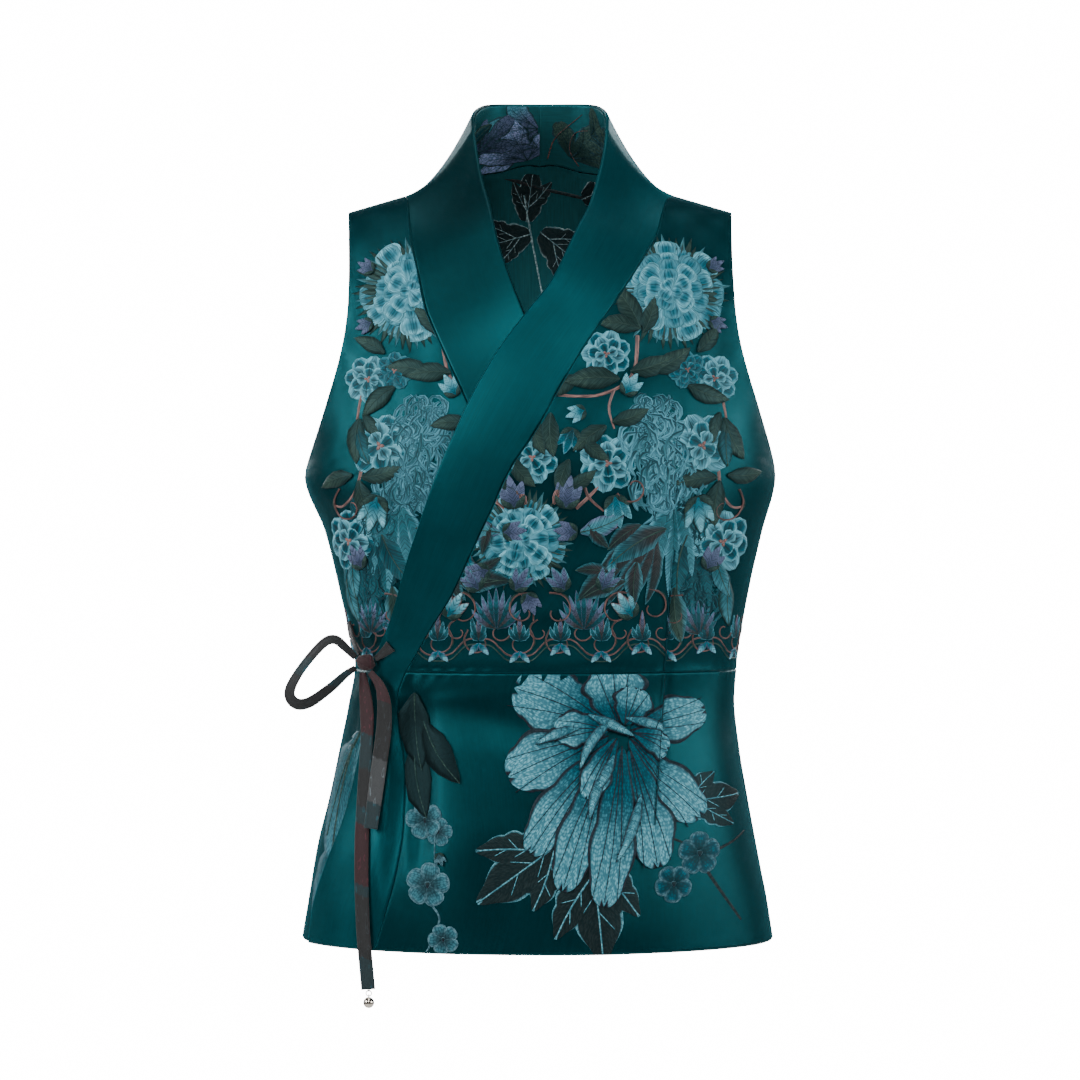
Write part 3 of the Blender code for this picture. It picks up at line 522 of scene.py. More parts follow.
# Half of the bodice's embroidery, which its mirror image repeats: kind, x, z, size, way and colours.
# A scroll gives the way that it turns in place of colours. The way is in degrees.
MIRRORED = (
    ("plume", 0.13, -0.27, 0.066, -84, (SEA_DARK, SEA_GREY, SEA_GREY)),
    ("curly", 0.132, -0.298, 0.04, -90, (SEA_DARK, SEA_GREY)),
    ("curly", 0.126, -0.256, 0.036, -90, (SEA_DARK, SEA_GREY)),
    ("plume", 0.108, -0.245, 0.074, -90, (SEA_GREY, MIST, ICE)),
    ("plume", 0.088, -0.272, 0.064, -118, None),
    ("curly", 0.094, -0.205, 0.052, -90, None),
    ("curly", 0.104, -0.23, 0.04, -90, None),
    ("curly", 0.088, -0.182, 0.036, -90, None),
    ("leaf", 0.095, -0.265, 0.05, 200, (BROWN, SEA_GREY, MIST)),
    ("pompom", 0.1, -0.082, 0.037, 0, None),
    ("bud", 0.13, -0.064, 0.013, 30, None),
    ("bud", 0.13, -0.105, 0.013, -20, None),
    ("leaf", 0.076, -0.112, 0.04, 112, None),
    ("leaf", 0.076, -0.113, 0.034, 160, None),
    ("leaf", 0.078, -0.116, 0.03, 60, None),
    ("blossom", 0.112, -0.144, 0.015, 40, (SEA_DARK, SEA, MIST)),
    ("leaf", 0.112, -0.156, 0.034, 330, None),
    ("leaf", 0.12, -0.13, 0.028, 40, None),
    ("leaf", 0.03, -0.15, 0.034, 200, None),
    ("bud", 0.025, -0.19, 0.018, 250, (SEA_DARK, SEA, ICE)),
    ("leaf", 0.022, -0.213, 0.028, 240, None),
    ("leaf", 0.02, -0.235, 0.026, 20, None),
    ("leaf", 0.068, -0.146, 0.036, 8, None),
    ("leaf", 0.06, -0.152, 0.042, 172, None),
    ("blossom", 0.05, -0.133, 0.019, 20, None),
    ("bud", 0.064, -0.164, 0.017, 60, BRIGHT),
    ("bud", 0.034, -0.176, 0.014, 200, BRIGHT),
    ("leaf", 0.054, -0.185, 0.03, 8, None),
    ("leaf", 0.05, -0.188, 0.032, 205, None),
    ("leaf", 0.008, -0.178, 0.034, 262, None),
    ("blossom", 0.051, -0.216, 0.022, 0, None),
    ("bud", 0.056, -0.24, 0.022, -80, (SEA, MIST, PALE_THREAD)),
    ("bud", 0.019, -0.25, 0.022, 80, None),
    ("leaf", 0.01, -0.247, 0.016, 60, (COPPER, COPPER, CORAL)),
    ("bud", 0.028, -0.268, 0.016, 175, None),
    ("leaf", 0.03, -0.268, 0.036, 10, (MIST, MIST, LAVENDER)),
    ("blossom", 0.133, -0.15, 0.019, 10, None),
    ("leaf", 0.137, -0.176, 0.026, 245, None),
    ("leaf", 0.14, -0.18, 0.036, 285, None),
    ("leaf", 0.142, -0.186, 0.032, 262, (SEA_DARK, SEA_GREY, OLIVE)),
    ("blossom", 0.123, -0.202, 0.025, 60, None),
    ("leaf", 0.145, -0.224, 0.03, -6, None),
    ("leaf", 0.138, -0.226, 0.034, 178, None),
    ("leaf", 0.14, -0.228, 0.036, 262, None),
    ("bud", 0.125, -0.24, 0.026, 285, (SEA, PALE_THREAD, OLIVE)),
    ("blossom", 0.15, -0.275, 0.024, 40, None),
    ("bud", 0.138, -0.296, 0.018, 60, None),
    ("leaf", 0.146, -0.29, 0.03, 280, (SEA_GREY, MIST, MIST)),
    ("leaf", 0.122, -0.27, 0.046, 250, (SEA_DARK, SEA_GREY, SEA_GREY)),
    ("leaf", 0.156, -0.305, 0.036, 262, (SEA_GREY, MIST, OLIVE)),
    ("leaf", 0.114, -0.31, 0.044, 265, (OLIVE, OLIVE_LIGHT, MIST)),
    ("lotus", 0.133, -0.347, 0.026, 92, None),
    ("lotus", 0.106, -0.347, 0.022, 70, None),
    ("lotus", 0.033, -0.342, 0.031, 90, None),
    ("leaf", 0.056, -0.285, 0.02, 250, (SEA, PALE_THREAD, BROWN)),
    ("leaf", 0.052, -0.298, 0.026, 165, DUSKY),
    ("bud", 0.07, -0.333, 0.02, 120, (SEA, PALE_THREAD, COPPER)),
    ("leaf", 0.084, -0.146, 0.036, 20, None),
    ("leaf", 0.032, -0.198, 0.026, 310, None),
    ("leaf", 0.036, -0.262, 0.024, 300, DUSKY),
    ("leaf", 0.076, -0.262, 0.032, 205, DUSKY),
    ("leaf", 0.06, -0.296, 0.04, 205, DUSKY),
    ("leaf", 0.064, -0.305, 0.036, 190, DUSKY_PALE),
    ("leaf", 0.073, -0.29, 0.034, 255, DUSKY_PALE),
    ("bud", 0.046, -0.312, 0.018, 60, VIOLET),
    ("bud", 0.019, -0.312, 0.018, 120, VIOLET),
    ("scroll", 0.06, -0.328, 0.016, 60, 1),
    ("scroll", 0.085, -0.325, 0.014, 100, -1),
    ("scroll", 0.148, -0.248, 0.016, 60, -1),
    ("scroll", 0.012, -0.328, 0.015, 110, -1),
    ("scroll", 0.115, -0.33, 0.015, 70, 1),
    ("scroll", 0.07, -0.234, 0.013, 200, 1),
)
SINGLE = (
    ("blossom", -0.006, -0.212, 0.02, 30, None),
    ("pompom", -0.015, -0.274, 0.032, 12, None),
    ("bud", -0.038, -0.296, 0.018, 200, None),
    ("bud", -0.01, -0.314, 0.016, -70, None),
)

# Stems: their width, colour and points. Those in the second table are on the overlap alone.
BODICE_STEMS = (
    (0.0034, CORAL,
     ((0.074, -0.118), (0.072, -0.142), (0.063, -0.156), (0.04, -0.165), (0.008, -0.164))),
    (0.0026, CORAL, ((0.056, -0.16), (0.052, -0.174), (0.056, -0.19))),
    (0.0034, CORAL, ((0.027, -0.25), (0.038, -0.24), (0.047, -0.23))),
    (0.003, COPPER, ((0.033, -0.232), (0.037, -0.242), (0.048, -0.252))),
    (0.0026, CORAL, ((0.136, -0.154), (0.14, -0.168), (0.143, -0.19), (0.14, -0.21))),
    (0.0028, CORAL, ((0.137, -0.214), (0.143, -0.236), (0.154, -0.248), (0.164, -0.247))),
    (0.0026, COPPER, ((0.056, -0.264), (0.07, -0.272), (0.09, -0.27))),
)
SINGLE_STEMS = (
    (0.0022, COPPER, ((-0.02, -0.3), (-0.016, -0.312), (-0.006, -0.326), (-0.005, -0.336))),
    (0.0016, SLATE, ((0.11, -0.25), (0.122, -0.29), (0.136, -0.33))),
)

# The border over the waist: its level, ends, the length and height of a wave, and its two threads.
BORDER_Z = -0.356
BORDER_ENDS = (-0.186, 0.186)
BORDER_STEP = 0.031
BORDER_WAVE = 0.006
BORDER_THREAD = 0.0016
LOWER_THREAD, LOWER_BY = 0.0013, 0.0045

# In each wave: two scrolls (half waves along, height, size, way and turn), drops of a length and
# width, and a fan of fronds (turn and length) of a width that starts a height over the waved line.
BORDER_SCROLLS = ((0, 0.004, 0.0125, 90, 1), (1, 0.012, 0.0095, 60, -1))
DROP_LENGTH, DROP_WIDTH = 0.012, 0.0055
FRONDS = ((-70, 0.012), (-30, 0.017), (0, 0.022), (30, 0.017), (70, 0.012))
FROND_START, FROND_WIDTH = 0.005, 0.0048

# The skirt's peony: its petals and turned edges, each from its root, with its way, length and bend.
PEONY_PETALS = (
    (0.056, -0.42, 150, 0.08, 0.06, 14),
    (0.06, -0.418, 96, 0.046, 0.054, 0),
    (0.052, -0.426, 196, 0.08, 0.052, 12),
    (0.068, -0.422, 8, 0.07, 0.04, 8),
    (0.068, -0.428, -44, 0.08, 0.048, -10),
    (0.054, -0.432, 228, 0.1, 0.038, 10),
    (0.068, -0.436, 286, 0.09, 0.042, -6),
    (0.056, -0.434, 246, 0.112, 0.036, 8),
    (0.062, -0.434, 266, 0.118, 0.038, -6),
    (0.052, -0.422, 170, 0.04, 0.032, 20),
    (0.064, -0.418, 70, 0.03, 0.034, 0),
    (0.07, -0.424, -14, 0.04, 0.03, -12),
    (0.058, -0.428, 236, 0.05, 0.026, 16),
)
PEONY_EDGES = (
    (0.05, -0.452, 238, 0.04, 26),
    (0.03, -0.42, 188, 0.036, 24),
    (0.036, -0.409, -24, 0.04, -6),
    (0.056, -0.413, 214, 0.048, 44),
    (0.064, -0.412, -12, 0.04, -10),
    (0.056, -0.44, 250, 0.036, -16),
    (0.076, -0.47, 262, 0.056, -26),
)

# Threads of the peony: its petals' ribs, its turned edges, and the stripes that cross each edge.
RIB_WIDTH = 0.001
EDGE_WIDTH, EDGE_LIFT = 0.009, 0.003
STRIPE_LENGTH, STRIPE_WIDTH, STRIPE_LIFT = 0.0065, 0.0007, 0.0032
STRIPE_START, STRIPE_TURN = 0.003, 80

# The woven motifs and stems of the skirt pieces, in the form of those above.
SKIRT = (
    ("toothed", 0.024, -0.5, 0.086, 216, None),
    ("toothed", 0.038, -0.506, 0.09, 276, None),
    ("toothed", 0.104, -0.478, 0.058, 4, None),
    ("plum", 0.121, -0.517, 0.0165, 18, None),
    ("plum", 0.101, -0.539, 0.0145, 50, None),
    ("plum", -0.089, -0.49, 0.015, 30, PLUM_LOOK),
    ("plum", -0.077, -0.499, 0.011, 75, PLUM_LOOK),
    ("plum", -0.085, -0.539, 0.017, 10, PLUM_LOOK),
    ("plum", -0.073, -0.58, 0.012, 40, PLUM_LOOK),
    ("bud", -0.077, -0.515, 0.009, 290, (SLATE_DARK, SLATE, SLATE)),
    # Three near-black leaves in the valley beside the band below the waist: woven leaves whose darkness is
    # partly painted shade of the valley.
    ("leaf", -0.096, -0.393, 0.06, 262, SHADOWED),
    ("leaf", -0.09, -0.415, 0.056, 290, SHADOWED),
    ("leaf", -0.098, -0.43, 0.06, 268, SHADOWED),
)
SKIRT_STEMS = (
    (0.0028, BROWN, ((0.086, -0.492), (0.098, -0.503), (0.108, -0.508))),
    (0.0026, BROWN, ((0.133, -0.516), (0.148, -0.51), (0.164, -0.503))),
    (0.003, BROWN, ((0.126, -0.529), (0.14, -0.55), (0.154, -0.57))),
    (0.0014, SLATE, ((-0.08, -0.5), (-0.08, -0.52), (-0.078, -0.526))),
    (0.002, SLATE, ((-0.082, -0.554), (-0.076, -0.564), (-0.08, -0.578), (-0.086, -0.59))),
)
UNDER_SKIRT = (
    ("leaf", -0.142, -0.425, 0.09, 235, (SEA_GREY, MIST, SLATE)),
    ("leaf", -0.15, -0.435, 0.11, 250, (SEA_GREY, MIST_BLUE, SLATE)),
    ("leaf", -0.162, -0.508, 0.085, 245, (SEA_GREY, MIST_BLUE, SLATE)),
    ("toothed", -0.1, -0.46, 0.08, 270, None),
    ("pompom", -0.04, -0.46, 0.04, 0, None),
    ("plum", 0.01, -0.52, 0.017, 0, None),
)
BACK_SKIRT = (
    ("toothed", 0.06, -0.515, 0.07, -40, None),
    ("toothed", -0.058, -0.5, 0.078, 214, None),
    ("plum", -0.115, -0.525, 0.018, 12, None),
    ("plum", -0.095, -0.548, 0.015, 50, None),
    ("plum", 0.12, -0.45, 0.018, 30, None),
    ("plum", 0.132, -0.472, 0.014, 10, None),
)

# The leafy cloth that shows inside the neck: its leaves and branches as seen from the front.
LINING_LOOK = (CHARCOAL_THREAD, CHARCOAL_THREAD, OFF_WHITE)
LINING_LEAVES = (
    ("toothed", -0.012, -0.01, 0.046, 82, LINING_LOOK),
    ("toothed", 0.0, -0.018, 0.056, 322, LINING_LOOK),
    ("toothed", -0.008, -0.02, 0.05, 195, LINING_LOOK),
    ("toothed", 0.036, 0.008, 0.046, 20, LINING_LOOK),
    ("toothed", -0.05, 0.006, 0.05, 150, LINING_LOOK),
    ("toothed", 0.01, -0.115, 0.06, 300, LINING_LOOK),
    ("toothed", -0.07, -0.15, 0.07, 130, LINING_LOOK),
    ("toothed", 0.085, -0.16, 0.07, 60, LINING_LOOK),
    ("toothed", -0.06, -0.25, 0.08, 250, LINING_LOOK),
    ("toothed", 0.055, -0.26, 0.08, 300, LINING_LOOK),
)
LINING_STEMS = (
    (0.004, BROWN, ((-0.07, 0.04), (-0.02, 0.023), (0.025, 0.012), (0.07, 0.0))),
    (0.0022, OFF_WHITE, ((-0.014, 0.012), (-0.006, -0.03), (0.008, -0.1))),
)

# The facing's pattern, by distance from the centre back and from the neck seam.
FACING_LENGTH = 0.146
FACING_WIDTH = 0.081
FACING_PATTERN = {
    "under": (
        ("wing", 0.002, 0.026, 0.062, 20, (LAVENDER, LAVENDER_PALE, SLATE_DARK)),
        ("wing", 0.002, 0.05, 0.058, 4, (LAVENDER, MIST_BLUE, SLATE_DARK)),
        ("wing", 0.01, 0.008, 0.056, 70, (LAVENDER, LAVENDER_PALE, SLATE_DARK)),
        ("wing", 0.056, 0.03, 0.046, 130, None),
        ("leaf", 0.05, 0.06, 0.05, -30, GREEN_LOOK),
        ("leaf", 0.09, 0.02, 0.05, 30, GREEN_LOOK),
    ),
    "over": (
        ("wing", 0.024, 0.016, 0.054, 50, WING_GREEN),
        ("wing", 0.048, 0.048, 0.044, 10, WING_GREEN),
        ("wing", 0.07, 0.02, 0.044, 100, WING_GREEN),
        ("leaf", 0.08, 0.03, 0.05, 20, GREEN_LOOK),
    ),
}
FACING_STEMS = (
    (0.0014, COPPER, ((0.006, 0.01), (0.012, 0.036), (0.026, 0.056), (0.044, 0.07))),
    (0.0014, COPPER, ((0.03, 0.008), (0.024, 0.026), (0.03, 0.046), (0.046, 0.052))),
)


def ease(low, high, value):
    """Rises smoothly from 0 to 1 as the value goes from low to high."""
    share = np.clip((np.asarray(value, float) - low) / (high - low), 0, 1)
    return share * share * (3 - 2 * share)


def unit(ways):
    return ways / np.maximum(np.linalg.norm(ways, axis=-1, keepdims=True), 1e-12)


def read(rows, key, column, value):
    """Reads one column of a table on a smooth curve that never overshoots its rows."""
    order = np.array(sorted(rows, key=lambda row: row[key]), float)
    places, heights = order[:, key], order[:, column]
    spans = np.diff(places)
    rates = np.diff(heights) / spans
    turning = rates[:-1] * rates[1:] <= 0
    middle = np.where(turning, 0, 2 * rates[:-1] * rates[1:] / np.where(turning, 1, rates[:-1] + rates[1:]))
    slopes = np.concatenate([rates[:1], middle, rates[-1:]])
    i = np.clip(np.searchsorted(places, value) - 1, 0, len(spans) - 1)
    t = np.clip((value - places[i]) / spans[i], 0, 1)
    bend = slopes[i] * t * (1 - t) ** 2 + slopes[i + 1] * t * t * (t - 1)
    return heights[i] * (1 + 2 * t) * (1 - t) ** 2 + heights[i + 1] * t * t * (3 - 2 * t) + spans[i] * bend


def through(rows, share):
    """Runs through all the rows of a table, evenly by row, and mixes every column."""
    rows = np.array(rows, float)
    place = np.clip(share, 0, 1) * (len(rows) - 1)
    i = np.minimum(place.astype(int), len(rows) - 2)
    t = (place - i)[..., None]
    p, q, r, s = (rows[np.clip(i + k, 0, len(rows) - 1)] for k in (-1, 0, 1, 2))
    square, cube = 2 * p - 5 * q + 4 * r - s, 3 * q - p - 3 * r + s
    return 0.5 * (2 * q + (r - p) * t + square * t ** 2 + cube * t ** 3)


def shoulder(x, face):
    """Height of the shoulder seam, carried on over the neck as a smooth rise."""
    rise = NECK_RISE[face] * (1 - ease(0.0, NECK_POINT, abs(x)))
    return rise - SHOULDER_SLOPE * (abs(x) - NECK_POINT)


def half_width(side, level):
    return np.where(side > 0, read(FIGURE, LEVEL, LEFT, level), read(FIGURE, LEVEL, RIGHT, level))


def figure(face, angle, level):
    """A point of the figure, by its angle from the centre front or centre back and its level."""
    x = half_width(angle, level) * np.sin(angle)
    depth = read(FIGURE, LEVEL, FRONT if face == "front" else BACK, level)
    share = np.clip(1 - level / UNDERARM, 0, 1)
    z = np.where(level > UNDERARM, UNDERARM + share * (shoulder(x, face) - UNDERARM), level)
    depth = depth * (1 - share ** SHOULDER_ROLL) ** (1 / SHOULDER_ROLL)
    depth = depth * np.maximum(np.cos(angle), 0) ** SIDE_ROUND + SEAM / 2
    return np.stack([x, -depth if face == "front" else depth, z], -1)


def outward(face, angle, level):
    """The figure's outward direction at a point."""
    a = np.clip(angle, -pi / 2 + SWING, pi / 2 - SWING)
    high = np.minimum(level + DROP, -1e-6)
    sideways = figure(face, a + SWING, level) - figure(face, a - SWING, level)
    upward = figure(face, a, high) - figure(face, a, high - 2 * DROP)
    way = np.cross(sideways, upward) * (1 if face == "front" else -1)
    flat = (abs(np.cos(angle)) < 0.02) | (np.asarray(level) > -1e-5)
    way[..., 1] = np.where(flat, 0, way[..., 1])
    return unit(way)


def spot(face, x, z):
    """The angle and level of a point seen at x and z from straight in front or behind."""
    share = np.clip((z - UNDERARM) / (shoulder(x, face) - UNDERARM), None, 1)
    level = np.where(z > UNDERARM, UNDERARM * (1 - share), z)
    return np.arcsin(np.clip(x / half_width(x, level), -1, 1)), level


def pressed(rows, x, z):
    """How far a table of folds and creases sinks the cloth at a place."""
    depth = np.zeros(np.shape(x))
    for row in rows:
        run_x, run_z = row[TO_X] - row[FROM_X], row[TO_Z] - row[FROM_Z]
        length = (run_x ** 2 + run_z ** 2) ** 0.5
        share = ((x - row[FROM_X]) * run_x + (z - row[FROM_Z]) * run_z) / length ** 2
        off = ((x - row[FROM_X]) * run_z - (z - row[FROM_Z]) * run_x) / length
        taper = ease(-0.25, 0.2, share) * (1 - ease(0.8, 1.25, share))
        depth += row[DEPTH] * taper * np.exp(-((off / row[SPREAD]) ** 2))
    return depth


def shared(rows):
    """The folds deep enough to press in the front below, as wide as they are there."""
    deep = [row for row in rows if row[DEPTH] >= SHARED_DEPTH]
    return tuple(row[:SPREAD] + (row[SPREAD] * SHARED_SPREAD, row[DEPTH]) for row in deep)


def lift(layer, angle, level):
    """Height of a front's outer side over the figure. The overlap passes over the other front."""
    if layer == "under":
        return np.zeros(np.shape(angle))
    return OVERLAP_LIFT * ease(0.0, OVERLAP_TURN, pi / 2 - angle) * ease(0.0, OVERLAP_DROP, -level)


def on_front(layer, angle, level, height):
    """A point of a front, at a height over that front's outer side."""
    base = figure("front", angle, level)
    folds = FOLDS if layer == "over" else shared(FOLDS)
    rise = lift(layer, angle, level) - pressed(folds + CREASES[layer], base[..., 0], base[..., 2]) + height
    return base + outward("front", angle, level) * rise[..., None]


def on_back(angle, level, height):
    base = figure("back", angle, level)
    rise = height - pressed(CREASES["back"], base[..., 0], base[..., 2])
    return base + outward("back", angle, level) * rise[..., None]


def side_angle(level):
    """Angle of the armhole's edge or, below the underarm, of the side seam."""
    edge = read(ARMHOLE, ARMHOLE_LEVEL, ARMHOLE_X, level) / half_width(1.0, level)
    return np.where(np.asarray(level) <= UNDERARM, pi / 2, np.arcsin(np.clip(edge, 0, 1)))


def keyed(rows):
    """A band's table with the level of its seam as one more column."""
    return tuple(row + (float(spot("front", row[SEAM_X], row[SEAM_Z])[1]),) for row in rows)


BANDS = {"over": keyed(LEFT_BAND), "under": keyed(RIGHT_BAND)}


def seam_angle(layer, level):
    """Angle of the seam between a front and its band."""
    x = read(BANDS[layer], BAND_LEVEL, SEAM_X, level)
    return np.arcsin(x / half_width(x, level))


def neck_seam(share):
    """Angle and level of the back neck seam, from the centre back (0) to the shoulder (1)."""
    x = NECK_POINT * np.sin(share * pi / 2)
    level = read(NECK_SEAM, NECK_OUT, NECK_LEVEL, x)
    return np.arcsin(x / half_width(x, level)), level


def hollowed(start, end, sag, across):
    """A point between start and end, on a curve that sags below the straight line."""
    middle = (start + end) / 2
    middle[..., 2] -= sag
    early = start + (middle - start) * across[..., None]
    late = middle + (end - middle) * across[..., None]
    return early + (late - early) * across[..., None]


def down_front(run):
    """Level of a place on the whole front: 0 to 1 is the bodice and 1 to 2 the peplum."""
    armhole = ARMHOLE_ROWS / BODICE_ROWS
    high = UNDERARM * (np.clip(run, 0, armhole) / armhole) ** ROW_CROWDING
    middle = UNDERARM + (WAIST - UNDERARM) * (run - armhole) / (1 - armhole)
    return np.where(run <= armhole, high, np.where(run <= 1, middle, WAIST + (HEM - WAIST) * (run - 1)))


def band_behind(run, across):
    """The band round the back of the neck, on the wearer's left."""
    share = np.clip(1 + run, 0, 1)
    start = figure("back", *neck_seam(share))
    edge = np.stack([read(NECK_EDGE, SHARE, column, share) for column in (NECK_X, NECK_Y, NECK_Z)], -1)
    return hollowed(start, edge, read(NECK_EDGE, SHARE, NECK_SAG, share), across)


def band_before(layer, run, across):
    """The band down a front. Where it hugs the figure it lies on the front, else it stands free."""
    rows, level = BANDS[layer], down_front(np.clip(run, 0, 2))
    angle = seam_angle(layer, level)
    start = on_front(layer, angle, level, np.zeros(np.shape(level)))
    edge = np.stack([read(rows, BAND_LEVEL, column, level) for column in (EDGE_X, EDGE_Y, EDGE_Z)], -1)
    point = hollowed(start, edge, read(rows, BAND_LEVEL, SAG, level), across)
    edge_angle, edge_level = spot("front", edge[..., 0], edge[..., 2])
    lying = on_front(
        layer, angle + (edge_angle - angle) * across, level + (edge_level - level) * across, 0 * across
    )
    return point + (lying - point) * read(rows, BAND_LEVEL, HUG, level)[..., None]


def band_surface(layer, run, across):
    """A band's outer side. The run is -1 at the centre back, 0 at the shoulder and 2 at the hem."""
    behind = band_behind(run, across) * MIRROR[layer]
    return np.where((run <= 0)[..., None], behind, band_before(layer, run, across))


def beside_band(layer, run):
    """Outward direction of the panel at its seam with the band, so that both walls turn alike."""
    level = down_front(np.clip(run, 0, 2))
    before = outward("front", seam_angle(layer, level), level)
    behind = outward("back", *neck_seam(np.clip(1 + run, 0, 1))) * MIRROR[layer]
    return np.where((run > 0)[..., None], before, behind)


def on_band(layer, run, across, depth):
    """A point of a band at a depth under its outer side."""
    point = band_surface(layer, run, across)
    sides = (np.minimum(across + BAND_STEP, 1), np.maximum(across - BAND_STEP, 0))
    ends = (np.minimum(run + BAND_STEP, 2), np.maximum(run - BAND_STEP, -1))
    over = band_surface(layer, run, sides[0]) - band_surface(layer, run, sides[1])
    ahead = band_surface(layer, ends[0], across) - band_surface(layer, ends[1], across)
    way = unit(np.cross(over, ahead)) * (1 if layer == "over" else -1)
    hug = np.where(run > 0, read(BANDS[layer], BAND_LEVEL, HUG, down_front(np.clip(run, 0, 2))), 0)
    panel = outward("front", *spot("front", point[..., 0], point[..., 2]))
    way = way + (panel - way) * hug[..., None]
    beside = beside_band(layer, run)
    way = beside + (way - beside) * ease(0.0, 0.3, across)[..., None]
    return point - unit(way) * depth[..., None]


def measured(place, line):
    """Greatest length of the cloth across its rows, or down its columns."""
    share, lengths = np.linspace(0, 1, 80), []
    for at in np.linspace(0, 1, 7):
        other, none = np.full(80, at), np.zeros(80)
        points = place(share, other, none) if line == ACROSS else place(other, share, none)
        lengths.append(np.linalg.norm(np.diff(points, axis=0), axis=1).sum())
    return float(max(lengths))


def crowded(share):
    """Moves evenly spaced lines toward both ends, where the edges are rounded."""
    return share - CROWDING * np.sin(2 * pi * share) / (2 * pi)


def sew(name, node, place, wall, look, spacing=FINE):
    """A closed sheet of cloth with rounded edges: place(across, along, depth) bends a flat grid."""
    width, length = measured(place, ACROSS), measured(place, ALONG)
    form = bmesh.new()
    columns, rows = (max(4, round(size / spacing)) for size in (width, length))
    bmesh.ops.create_grid(form, x_segments=columns, y_segments=rows, size=0.5)
    copied = bmesh.ops.extrude_face_region(form, geom=form.faces[:], use_keep_orig=True)["geom"]
    inner = {corner for corner in copied if isinstance(corner, bmesh.types.BMVert)}
    flat = np.array([(c.co.x + 0.5, c.co.y + 0.5, c in inner) for c in form.verts], float)
    across, along = crowded(flat[:, ACROSS]), crowded(flat[:, ALONG])
    beside = np.minimum(np.minimum(across, 1 - across) * width, np.minimum(along, 1 - along) * length)
    rounding = ROUNDING * wall * (1 - np.sqrt(1 - (1 - np.clip(beside / EDGE_ROUND, 0, 1)) ** 2))
    points = place(across, along, np.where(flat[:, INNER] > 0, wall - rounding, rounding))
    for corner, point in zip(form.verts, points):
        corner.co = point
    made = finish(form, name, look)
    weave = np.stack([across * width, along * length, 0 * along], -1)
    store(made.data, "weave", "vector", weave)
    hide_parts(node)
    return made


def store(mesh, name, kind, values):
    """Keeps a vector or a color at each corner of a mesh, for its material to read."""
    mesh.attributes.new(name, "FLOAT_" + kind.upper(), "POINT").data.foreach_set(kind, values.ravel())


def finish(form, name, look, body="root"):
    """Turns a form into a smooth object that rides on a body."""
    bmesh.ops.recalc_face_normals(form, faces=form.faces[:])
    if form.calc_volume(signed=True) < 0:
        bmesh.ops.reverse_faces(form, faces=form.faces[:])
    mesh = bpy.data.meshes.new(name)
    form.to_mesh(mesh)
    form.free()
    mesh.shade_smooth()
    mesh.materials.append(look)
    made = bpy.data.objects.new(name, mesh)
    bpy.context.scene.collection.objects.link(made)
    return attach(made, body)


def panel(layer, part):
    """How a front panel is placed, from its band's seam to its side: a bodice or a peplum."""
    side = 1 if layer == "over" else -1

    def place(across, along, depth):
        level = down_front(along) if part == "bodice" else down_front(1 + along)
        level = level + (SEAM / 2) * ((1 - along) * -1 if part == "peplum" else along)
        start, end = seam_angle(layer, level), side * side_angle(level)
        height = puckered(level, across * FRONT_WAIST) - depth
        return on_front(layer, start + (end - start) * across, level, height)

    return place


def puckered(level, along_seam):
    """Small even puckers beside the waist seam."""
    near = np.exp(-(((level - WAIST) / PUCKER_REACH) ** 2))
    return PUCKER * near * np.sin(2 * pi * along_seam / PUCKER_SPACE)


def band(layer):
    def place(across, along, depth):
        run = 3 * along - 1
        point = on_band(layer, run, BAND_START + (1 - BAND_START) * across, depth)
        centre = -CENTRE_LAP if layer == "over" else CENTRE_LAP
        point[..., 0] = np.where(along == 0, centre, point[..., 0])
        return point

    return place


def back_bodice(across, along, depth):
    """The back panel, whose top row follows the neck seam between the shoulders."""
    tip = float(side_angle(0.0))
    neck_share = float(np.arcsin(NECK_POINT / half_width(1.0, 0.0))) / tip
    side = 2 * across - 1
    out = abs(side)
    neck_angle, neck_top = neck_seam(np.clip(out / NECK_CORNER, 0, 1))
    beyond = neck_share + (1 - neck_share) * (out - NECK_CORNER) / (1 - NECK_CORNER)
    share = np.sign(side) * np.where(out < NECK_CORNER, neck_angle / tip, beyond)
    angle = np.where(out < NECK_CORNER, np.sign(side) * neck_angle, share * tip)
    top = np.where(out < NECK_CORNER, neck_top, 0.0)
    level = top + (WAIST + SEAM / 2 - top) * (down_front(along) / WAIST)
    drift = angle - share * side_angle(top)
    height = puckered(level, across * BACK_WAIST) - depth
    return on_back(share * side_angle(level) + drift * (1 - along), level, height)


def back_peplum(across, along, depth):
    level = WAIST - SEAM / 2 + (HEM - WAIST + SEAM / 2) * along
    return on_back((across - 0.5) * pi, level, puckered(level, across * BACK_SKIRT_WAIST) - depth)


def lining(across, along, depth):
    """Lies under the back, and starts just below the neck seam."""
    return back_bodice(across, LINING_TOP + (1 - LINING_TOP) * along, WALL + LINING_GAP + depth)


def facing(layer):
    """The patterned inside of the band behind the neck, just short of both its edges."""

    def place(across, along, depth):
        inset = FACING_INSET + (1 - 2 * FACING_INSET) * across
        point = on_band(layer, along - 1, inset, BAND_WALL + LINING_GAP + depth)
        centre = -CENTRE_LAP if layer == "over" else CENTRE_LAP
        point[..., 0] = np.where(along == 0, centre, point[..., 0])
        return point

    return place


def above(layer, x, z, height):
    """The point seen from the front at x and z that lies a height over a front's outer side."""
    level = np.maximum(z, HEM)
    angle = spot("front", x, level)[0]
    for _ in range(SEEKING_STEPS):
        point = on_front(layer, angle, level, height)
        angle = angle + (x - point[..., 0]) / (half_width(x, level) * np.maximum(np.cos(angle), STEEPEST))
    return np.stack([x, point[..., 1], z], -1), outward("front", angle, level)


def hanging(rows):
    """Where a ribbon hangs on the overlap, half turned to its slope. It drops straight at the hem."""
    point, slope = above("over", rows[..., HANG_X], rows[..., HANG_Z], rows[..., OVER])
    return point, slope + FORWARD


